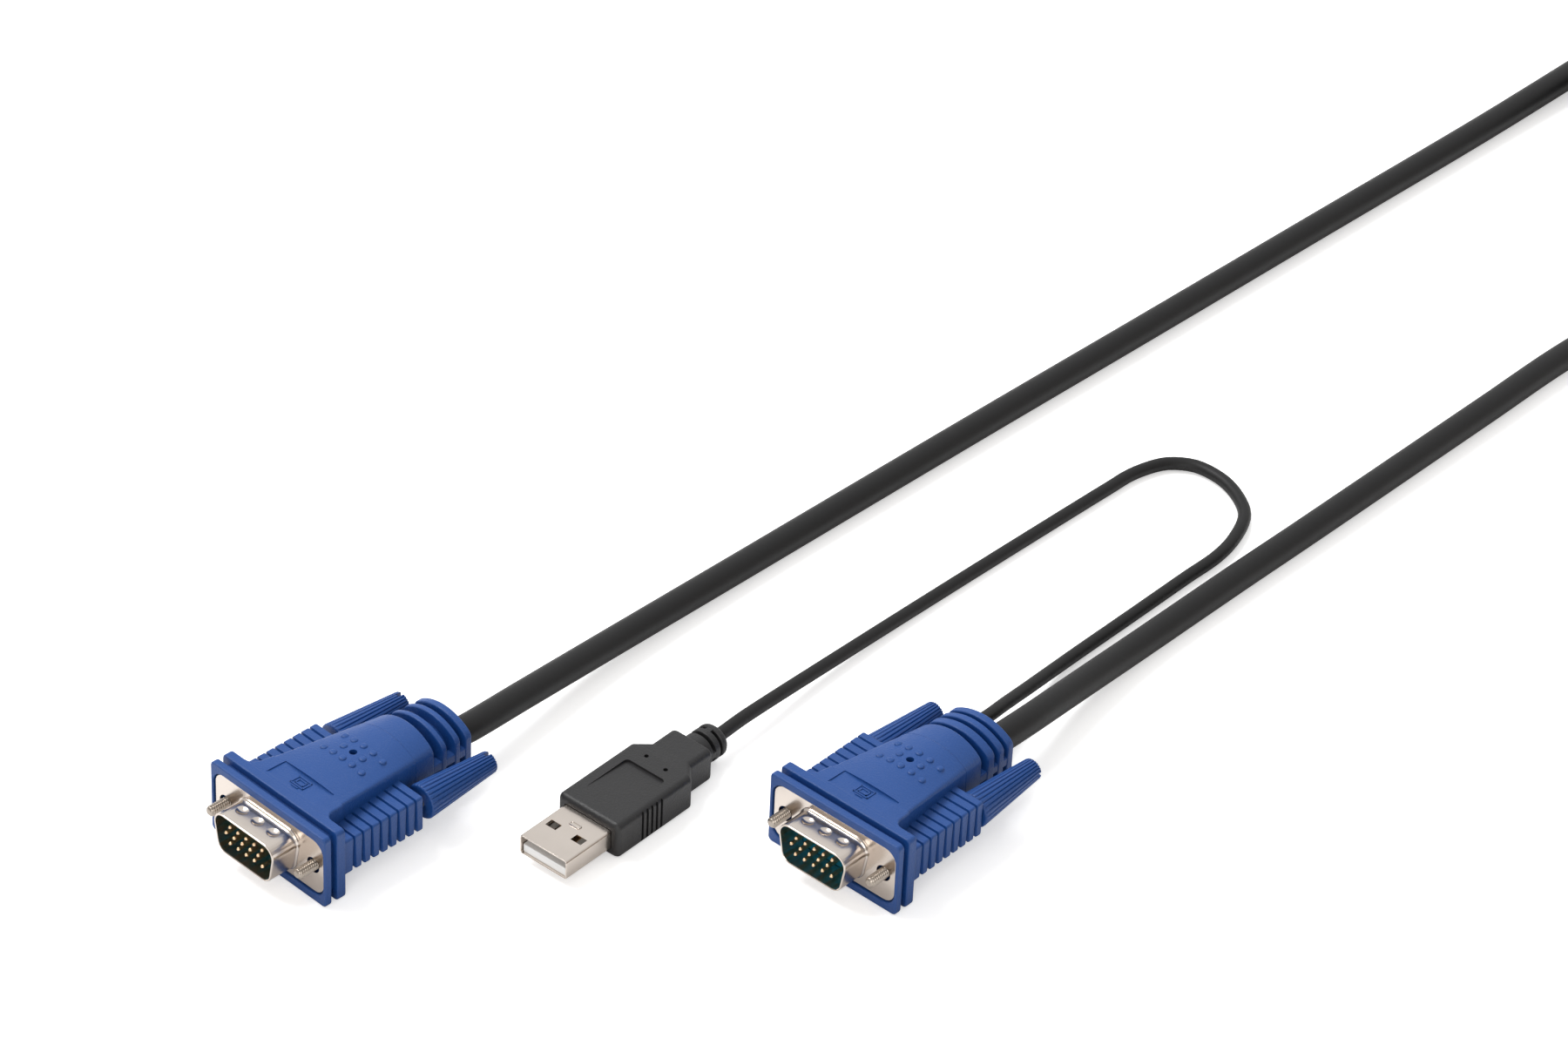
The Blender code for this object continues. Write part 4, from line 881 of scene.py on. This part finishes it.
def usb_grip():
    """The moulded grip with its side grooves, sunk panel, two pits and the pocket for the shell."""
    width, height, corner = USB_GRIP

    def section(across, up, y, inset=0.0):
        return along_y(rounded(across - 2 * inset, up - 2 * inset, corner, 6), y)

    low = height - USB_NECK_DROP
    soft, run = USB_SOFT
    rings = []
    for i in range(6):
        angle = math.pi / 2 * i / 5
        inset = USB_GRIP_BEVEL * (1 - math.sin(angle))
        y = USB_SHELL_REACH + USB_GRIP_BEVEL * (1 - math.cos(angle))
        rings.append(section(width, height, y, inset))
    rings.append(section(width, height, USB_GRIP_REAR - run))
    rings.append(section(width - soft, height, USB_GRIP_REAR))
    rings.append(section(USB_NECK_WIDTH + soft, low, USB_NECK_FRONT))
    rings.append(section(USB_NECK_WIDTH, low, USB_NECK_FRONT + run))
    for i in range(5):
        angle = math.pi / 2 * i / 4
        y = USB_NECK_REAR - USB_NECK_EDGE * (1 - math.sin(angle))
        rings.append(section(USB_NECK_WIDTH, low, y, USB_NECK_EDGE * (1 - math.cos(angle))))
    grip = loft(rings)
    outer = width / 2
    spans = []
    for i in range(USB_SIDE_GROOVES):
        middle = USB_SIDE_GROOVE_FIRST + i * USB_SIDE_GROOVE_PITCH
        y = (middle - USB_SIDE_GROOVE[0] / 2, middle + USB_SIDE_GROOVE[0] / 2)
        z = (-height / 2 + USB_SIDE_GROOVE_ENDS, height / 2 - USB_SIDE_GROOVE_ENDS)
        spans.append(((outer - USB_SIDE_GROOVE[1], outer + PAST), y, z))
        spans.append(((-outer - PAST, -outer + USB_SIDE_GROOVE[1]), y, z))
    top = height / 2
    panel_width, front, rear, depth = USB_PANEL
    corners = rounded(panel_width, rear - front, USB_PANEL_CORNER, 6)
    outline = [(x, (front + rear) / 2 + y) for x, y in corners]
    panel = [
        [(x, y, top - depth * (y - front) / (rear - front) - USB_PANEL_LIP) for x, y in outline],
        [(x, y, top + PAST) for x, y in outline],
    ]
    pit_width, pit_x, pit_y, pit_shift = USB_PIT
    pits = [
        [
            [(side * pit_x + x, pit_y - side * pit_shift + y, z) for x, y in circle(pit_width / 2, 24)]
            for z in (top - USB_PIT_DEPTH, top + PAST)
        ]
        for side in (-1, 1)
    ]
    pocket = rounded(USB_SHELL[0] + 2 * USB_POCKET_GAP, USB_SHELL[1] + 2 * USB_POCKET_GAP, USB_SHELL[2])
    mouth = loft([along_y(pocket, USB_SHELL_REACH - PAST), along_y(pocket, USB_SHELL_REAR)])
    return carved(grip, boxes(*spans), loft(panel), loft(*pits), mouth)


def usb_boot():
    """The relief's rings on its core, with the bridges that join them."""
    def ring(inset):
        width, height = [size - 2 * inset for size in USB_BOOT]
        return rounded(width, height, USB_BOOT[1] / 2 - inset - USB_BOOT_FLAT, 10)

    edge, round_end = USB_BOOT_EDGES
    solids = []
    for start, thickness in USB_BOOT_RINGS[:-1]:
        front = USB_NECK_REAR + start
        solids.append(slab(ring, front - (SEAT if start == 0 else 0), front + thickness, edge))
    start, thickness = USB_BOOT_RINGS[-1]
    front = USB_NECK_REAR + start
    last = [along_y(ring(edge), front), along_y(ring(0.0), front + edge)]
    for i in range(7):
        angle = math.pi / 2 * i / 6
        y = front + thickness - round_end * (1 - math.sin(angle))
        last.append(along_y(ring(round_end * (1 - math.cos(angle))), y))
    solids.append(last)
    core = rounded(USB_BOOT_CORE, USB_BOOT_CORE, USB_BOOT_CORE / 2 - USB_BOOT_FLAT, 10)
    solids.append([along_y(core, USB_NECK_REAR - SEAT), along_y(core, USB_NECK_REAR + USB_BOOT_CORE_END)])
    half = USB_BOOT_BRIDGE / 2
    wide = USB_BOOT[0] / 2 - USB_BOOT_BRIDGE_INSET
    high = USB_BOOT[1] / 2 - USB_BOOT_BRIDGE_INSET
    sideways, upright = [(USB_NECK_REAR + y0, USB_NECK_REAR + y1) for y0, y1 in USB_BOOT_BRIDGES]
    spans = [((-wide, wide), sideways, (-half, half)), ((-half, half), upright, (-high, high))]
    return joined(loft(*solids), boxes(*spans))


def usb_shell():
    """Folded shell with four windows, a seam and a small raised oval on top."""
    width, height, corner = USB_SHELL
    wall = USB_SHELL_WALL

    def section(inset, y):
        bend = max(corner - inset, USB_SHELL_INNER_CORNER)
        return along_y(rounded(width - 2 * inset, height - 2 * inset, bend), y)

    profile = [
        (USB_SHELL_REAR, 0.0), (0.12, 0.0), (0.03, 0.03), (0.0, 0.1), (0.0, wall - 0.06), (0.05, wall),
        (USB_SHELL_REAR, wall),
    ]
    shell = loft([section(inset, y) for y, inset in profile], closed=True)
    half, length = USB_WINDOW[0] / 2, USB_WINDOW[1]
    x, y = USB_WINDOW_AT
    spans = [((side * x - half, side * x + half), (y, y + length), (-height, height)) for side in (-1, 1)]
    seam_top = height / 2 - wall
    seam = (-PAST, USB_SHELL_REAR + PAST)
    spans.append(((width / 2 - USB_SEAM, width / 2 + PAST), seam, (seam_top - USB_SEAM, seam_top)))
    shell = carved(shell, boxes(*spans))
    oval = []
    long, short, end = USB_OVAL
    x, y = USB_OVAL_AT
    for inset, rise in USB_OVAL_RISE:
        edge = rounded(long - 2 * inset, short - 2 * inset, end - inset, 8)
        oval.append([(px + x, py + y, height / 2 + rise) for px, py in edge])
    return joined(shell, loft(oval))


def usb_inside():
    """The tongue on the shell's floor and the contacts on it."""
    width, height, setback, edge = USB_TONGUE
    floor = -USB_SHELL[1] / 2 + USB_SHELL_WALL
    top = floor + height

    def section(inset):
        half, rise, middle = width / 2 - inset, height / 2 - inset, (floor + top) / 2
        return [(x * half, middle + z * rise) for x, z in ((1, -1), (1, 1), (-1, 1), (-1, -1))]

    tongue = loft(slab(section, setback, USB_SHELL_REAR, edge, 2))
    half = USB_CONTACT_WIDTH / 2
    levels = (top - USB_CONTACT_SUNK, top + USB_CONTACT_RISE)
    contacts = [((x - half, x + half), (y, y + USB_CONTACT_LENGTH), levels) for x, y in USB_CONTACTS]
    return tongue, boxes(*contacts)


def usb_plug(place):
    """The USB plug's pieces, at its place."""
    tongue, contacts = usb_inside()
    grip = joined(usb_grip(), usb_boot())
    nodes = [f"usb_contact_{i}" for i in range(1, 5)]
    return [
        piece("usb_grip", grip, CHARCOAL, SET, place, ["usb_overmould"]),
        piece("usb_front_shell", usb_shell(), NICKEL, SET, place, ["usb_shell"]),
        piece("usb_blade", tongue, WHITE, SET, place, ["usb_tongue"]),
        piece("usb_contacts", contacts, GOLD, SET, place, nodes),
    ]


# Cables


def smooth(route, spacing):
    """Points at even spacing on a smooth curve through the route's points."""
    ends = [2 * route[0] - route[1]] + route + [2 * route[-1] - route[-2]]
    fine = []
    for p0, p1, p2, p3 in zip(ends, ends[1:], ends[2:], ends[3:]):
        t1 = max((p1 - p0).length ** 0.5, 1e-6)
        t2 = t1 + max((p2 - p1).length ** 0.5, 1e-6)
        t3 = t2 + max((p3 - p2).length ** 0.5, 1e-6)
        for i in range(CURVE_STEPS):
            t = t1 + (t2 - t1) * i / CURVE_STEPS
            a1 = p0.lerp(p1, t / t1)
            a2 = p1.lerp(p2, (t - t1) / (t2 - t1))
            a3 = p2.lerp(p3, (t - t2) / (t3 - t2))
            b1 = a1.lerp(a2, t / t2)
            b2 = a2.lerp(a3, (t - t1) / (t3 - t1))
            fine.append(b1.lerp(b2, (t - t1) / (t2 - t1)))
    fine.append(route[-1])
    lengths = [(b - a).length for a, b in zip(fine, fine[1:])]
    count = max(round(sum(lengths) / spacing), 2)
    step = sum(lengths) / count
    points = [fine[0]]
    run = 0.0
    for a, b, length in zip(fine, fine[1:], lengths):
        while len(points) < count and run + length >= step * len(points):
            points.append(a.lerp(b, (step * len(points) - run) / length))
        run += length
    return points + [fine[-1]]


def cable(name, points, width, nodes):
    """A round cable along its points."""
    curve = bpy.data.curves.new(name, "CURVE")
    curve.dimensions = "3D"
    curve.bevel_depth = width / 2
    curve.bevel_resolution = 8
    curve.use_fill_caps = True
    spline = curve.splines.new("POLY")
    spline.points.add(len(points) - 1)
    for target, point in zip(spline.points, points):
        target.co = (*point, 1.0)
    spline.use_smooth = True
    curve.materials.append(PVC)
    item = link(bpy.data.objects.new(name, curve))
    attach(item, SET)
    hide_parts(*nodes)
    return item


def coil_points():
    """The coil, seen from above clockwise: a layer winding in, a climb, and a layer winding out on top."""
    low = COIL_LIFT + MAIN_WIDTH / 2
    points = []
    total = COIL_TURNS_DOWN + COIL_TURNS_CLIMB + COIL_TURNS_UP
    steps = round(total * COIL_STEPS)
    for i in range(steps + 1):
        turns = total * i / steps
        inward = min(turns / COIL_TURNS_DOWN, 1.0)
        outward = max((turns - COIL_TURNS_DOWN - COIL_TURNS_CLIMB) / COIL_TURNS_UP, 0.0)
        climb = min(max((turns - COIL_TURNS_DOWN) / COIL_TURNS_CLIMB, 0.0), 1.0)
        radius = COIL_OUTER + (COIL_INNER - COIL_OUTER) * (inward - outward)
        angle = COIL_ENTRY - math.tau * turns
        height = low + MAIN_WIDTH * climb * climb * (3 - 2 * climb)
        x, y = COIL_AT[0] + radius * math.cos(angle), COIL_AT[1] + radius * math.sin(angle)
        points.append(Vector((x, y, height)))
    return points


def exit_of(place, x, y):
    """A cable's exit from a plug, in metres, with the straight start that it makes from inside the plug."""
    point = place @ Vector((x, y, 0.0))
    back = (place.to_3x3() @ Vector((0, 1, 0))).normalized()
    return point, point - CABLE_HIDDEN * back, point + CABLE_LEAD * back


def rear_of(tag):
    """Where a cable leaves a D plug's relief, in metres behind the plug's front face."""
    length, _, plates, _ = PLUGS[tag]
    return (COLLAR_LENGTH + length + sum(plates[-1])) / 1000 + EXIT_GAP


def cables(place_a, place_b, place_usb):
    """The main cable, its exit from plug a, the USB branch and its exit from plug b."""
    exit_a, inside_a, lead_a = exit_of(place_a, MAIN_EXIT, rear_of("a"))
    exit_b, inside_b, lead_b = exit_of(place_b, MAIN_EXIT, rear_of("b"))
    exit_usb, inside_usb, lead_usb = exit_of(place_b, USB_EXIT, rear_of("b"))
    usb_rear = (USB_NECK_REAR + sum(USB_BOOT_RINGS[-1])) / 1000 + EXIT_GAP
    end_usb, in_plug, lead_plug = exit_of(place_usb, 0.0, usb_rear)
    route_a = [lead_a] + [Vector(point) for point in ROUTE_A]
    route_b = [lead_b] + [Vector(point) for point in ROUTE_B]
    whole = smooth(route_a + coil_points() + route_b[::-1], CABLE_SPACING)
    path = [inside_a, exit_a] + whole + [exit_b, inside_b]
    main = cable("main_cable", path, MAIN_WIDTH, ["main_cable_a", "main_cable_b", "main_cable_coil"])
    route = [lead_usb] + [Vector(point) for point in ROUTE_USB] + [lead_plug]
    path = [inside_usb, exit_usb] + smooth(route, USB_CABLE_SPACING) + [end_usb, in_plug]
    branch = cable("usb_branch", path, USB_CABLE_WIDTH, ["usb_cable"])
    return main, exit_a, branch, exit_usb


def tie():
    """A strap once round the coil's section, its free end lapped over its top."""
    inner = (COIL_INNER - MAIN_WIDTH / 2) * 1000
    outer = (COIL_OUTER + MAIN_WIDTH / 2) * 1000
    half = TIE_WIDTH * 500
    near = math.sqrt(inner**2 - half**2) - TIE_GAP
    far = outer + TIE_GAP
    thickness = TIE_THICKNESS * 1000
    bottom = thickness
    top = COIL_LIFT * 1000 + MAIN_WIDTH * 2000 + TIE_GAP
    outer_edge = thickness - TIE_SOFT
    rings = []
    for grow, x in (
        (0.0, -half + TIE_SOFT), (TIE_SOFT, -half), (outer_edge, -half), (thickness, -half + TIE_SOFT),
        (thickness, half - TIE_SOFT), (outer_edge, half), (TIE_SOFT, half), (0.0, half - TIE_SOFT),
    ):
        outline = rounded(far - near + 2 * grow, top - bottom + 2 * grow, TIE_CORNER + grow, 5)
        rings.append([(x, (near + far) / 2 + y, (bottom + top) / 2 + z) for y, z in outline])
    strap = loft(rings, closed=True)
    length, corner, back = FLAP
    ends = rounded(TIE_WIDTH * 1000 - FLAP_SIDE, length, corner, 6)
    centre = far - length / 2 - back
    flap = loft([[(x, centre + y, top + thickness + z) for x, y in ends] for z in FLAP_RISE])
    return joined(strap, flap)


# Studio


def camera():
    """Looks down on the plugs from their right front, with the picture turned a little."""
    azimuth, elevation, roll = CAMERA_TURN
    right = Vector((math.cos(azimuth), math.sin(azimuth), 0.0))
    level = math.cos(elevation)
    forward = Vector((-math.sin(azimuth) * level, math.cos(azimuth) * level, -math.sin(elevation)))
    down = forward.cross(right)
    across = math.cos(roll) * right + math.sin(roll) * down
    downward = -math.sin(roll) * right + math.cos(roll) * down
    data = bpy.data.cameras.new("camera")
    data.lens = CAMERA_LENS
    data.sensor_width = CAMERA_SENSOR
    data.clip_start = 0.05
    data.clip_end = 20.0
    item = link(bpy.data.objects.new("camera", data))
    turn = Matrix((across, -downward, -forward)).transposed().to_4x4()
    item.matrix_world = Matrix.Translation(CAMERA_AT) @ turn
    bpy.context.scene.camera = item


def area_light(name, at, target, size, watts):
    """A round lamp that faces its target."""
    data = bpy.data.lights.new(name, "AREA")
    data.shape = "DISK"
    data.size = size
    data.energy = watts
    item = link(bpy.data.objects.new(name, data))
    item.location = at
    item.rotation_euler = (Vector(target) - Vector(at)).to_track_quat("-Z", "Y").to_euler()
    return item


def white_to_camera(tree, shown, hidden):
    """One shader for the camera's own rays and another for all other rays."""
    path = tree.nodes.new("ShaderNodeLightPath")
    mix = tree.nodes.new("ShaderNodeMixShader")
    tree.links.new(path.outputs["Is Camera Ray"], mix.inputs[0])
    tree.links.new(hidden, mix.inputs[1])
    tree.links.new(shown, mix.inputs[2])
    return mix.outputs[0]


def floor_look():
    """Pale floor. A glow that only the camera sees keeps it white and its shadows light."""
    made = bpy.data.materials.new("floor_white")
    made.use_nodes = True
    tree = made.node_tree
    shader = tree.nodes["Principled BSDF"]
    shader.inputs["Base Color"].default_value = (FLOOR_GREY, FLOOR_GREY, FLOOR_GREY, 1.0)
    shader.inputs["Roughness"].default_value = 0.9
    shader.inputs["Specular IOR Level"].default_value = 0.0
    glow = tree.nodes.new("ShaderNodeEmission")
    glow.inputs["Color"].default_value = (1.0, 1.0, 1.0, 1.0)
    glow.inputs["Strength"].default_value = FLOOR_GLOW
    both = tree.nodes.new("ShaderNodeAddShader")
    tree.links.new(shader.outputs[0], both.inputs[0])
    tree.links.new(glow.outputs[0], both.inputs[1])
    shown = white_to_camera(tree, both.outputs[0], shader.outputs[0])
    tree.links.new(shown, tree.nodes["Material Output"].inputs["Surface"])
    return made


def studio():
    """The floor, a world that is brighter on one side and white to the camera, and the lamps."""
    floor_mesh = boxes(FLOOR_SPANS)
    floor = link(bpy.data.objects.new("floor", floor_mesh))
    floor_mesh.materials.append(floor_look())
    world = bpy.data.worlds.new("studio")
    bpy.context.scene.world = world
    world.use_nodes = True
    tree = world.node_tree
    place = tree.nodes.new("ShaderNodeTexCoord")
    towards = tree.nodes.new("ShaderNodeVectorMath")
    towards.operation = "DOT_PRODUCT"
    towards.inputs[1].default_value = Vector(BRIGHT_SIDE).normalized()
    tree.links.new(place.outputs["Generated"], towards.inputs[0])
    spread = tree.nodes.new("ShaderNodeMapRange")
    spread.inputs["From Min"].default_value = -1.0
    tree.links.new(towards.outputs["Value"], spread.inputs["Value"])
    ramp = tree.nodes.new("ShaderNodeValToRGB")
    tree.links.new(spread.outputs["Result"], ramp.inputs["Fac"])
    stops = ramp.color_ramp.elements
    dim, middle, bright = WORLD_STOPS
    stops[0].position, stops[0].color = dim
    stops[1].position, stops[1].color = bright
    stops.new(middle[0]).color = middle[1]
    light = tree.nodes["Background"]
    light.inputs["Strength"].default_value = WORLD_LIGHT
    tree.links.new(ramp.outputs["Color"], light.inputs["Color"])
    white = tree.nodes.new("ShaderNodeBackground")
    white.inputs["Color"].default_value = (1.0, 1.0, 1.0, 1.0)
    shown = white_to_camera(tree, white.outputs[0], light.outputs[0])
    tree.links.new(shown, tree.nodes["World Output"].inputs["Surface"])
    for lamp in LAMPS:
        area_light(*lamp)
    bpy.data.objects["back"].visible_glossy = False
    bpy.context.scene.view_settings.view_transform = "Standard"


BLUE = surface("blue_plastic", (0.006, 0.054, 0.225), 0.45, grain=0.00008, grain_scale=2200.0)
NICKEL = surface("nickel_plate", (0.73, 0.66, 0.60), 0.2, metallic=1.0, grain=0.000006, grain_scale=5000.0)
STEEL = surface("steel_thread", (0.42, 0.37, 0.32), 0.28, metallic=1.0, grain=0.000006, grain_scale=5000.0)
GOLD = surface("gold_plate", (0.90, 0.66, 0.42), 0.25, metallic=1.0)
CHARCOAL = surface("charcoal_plastic", (0.015, 0.015, 0.016), 0.46, grain=0.00008, grain_scale=2200.0)
WHITE = surface("white_plastic", (0.82, 0.82, 0.81), 0.4)
PVC = surface("black_pvc", (0.006, 0.006, 0.0065), 0.5, grain=0.00002, grain_scale=1200.0, specular=0.4)
STRAP = surface("black_strap", (0.02, 0.02, 0.021), 0.85, grain=0.0002, grain_scale=3000.0)
DARK = surface("insulator_black", (0.001, 0.075, 0.100), 0.6, grain=0.00001, specular=0.15)
TEAL = surface("insulator_teal", (0.001, 0.130, 0.215), 0.6, grain=0.00001, specular=0.15)

camera()
place_a = d_plug("a")
place_b = d_plug("b")
place_usb = Matrix.Translation((*USB_AT, USB_AXIS_HEIGHT)) @ Matrix.Rotation(USB_TURN, 4, "Z")
on_branch = usb_plug(place_usb)
main_cable, exit_main, usb_branch, exit_branch = cables(place_a, place_b, place_usb)
strap = piece(
    "coil_strap", tie(), STRAP, SET, Matrix.Translation((*COIL_AT, 0.0)), ["coil_tie"],
)
for tag, look in (("a", DARK), ("b", TEAL)):
    for node, finish in ((f"insulator_{tag}", look), (f"rear_shell_{tag}", NICKEL)):
        frame["nodes"][node].data.materials.clear()
        frame["nodes"][node].data.materials.append(finish)
studio()
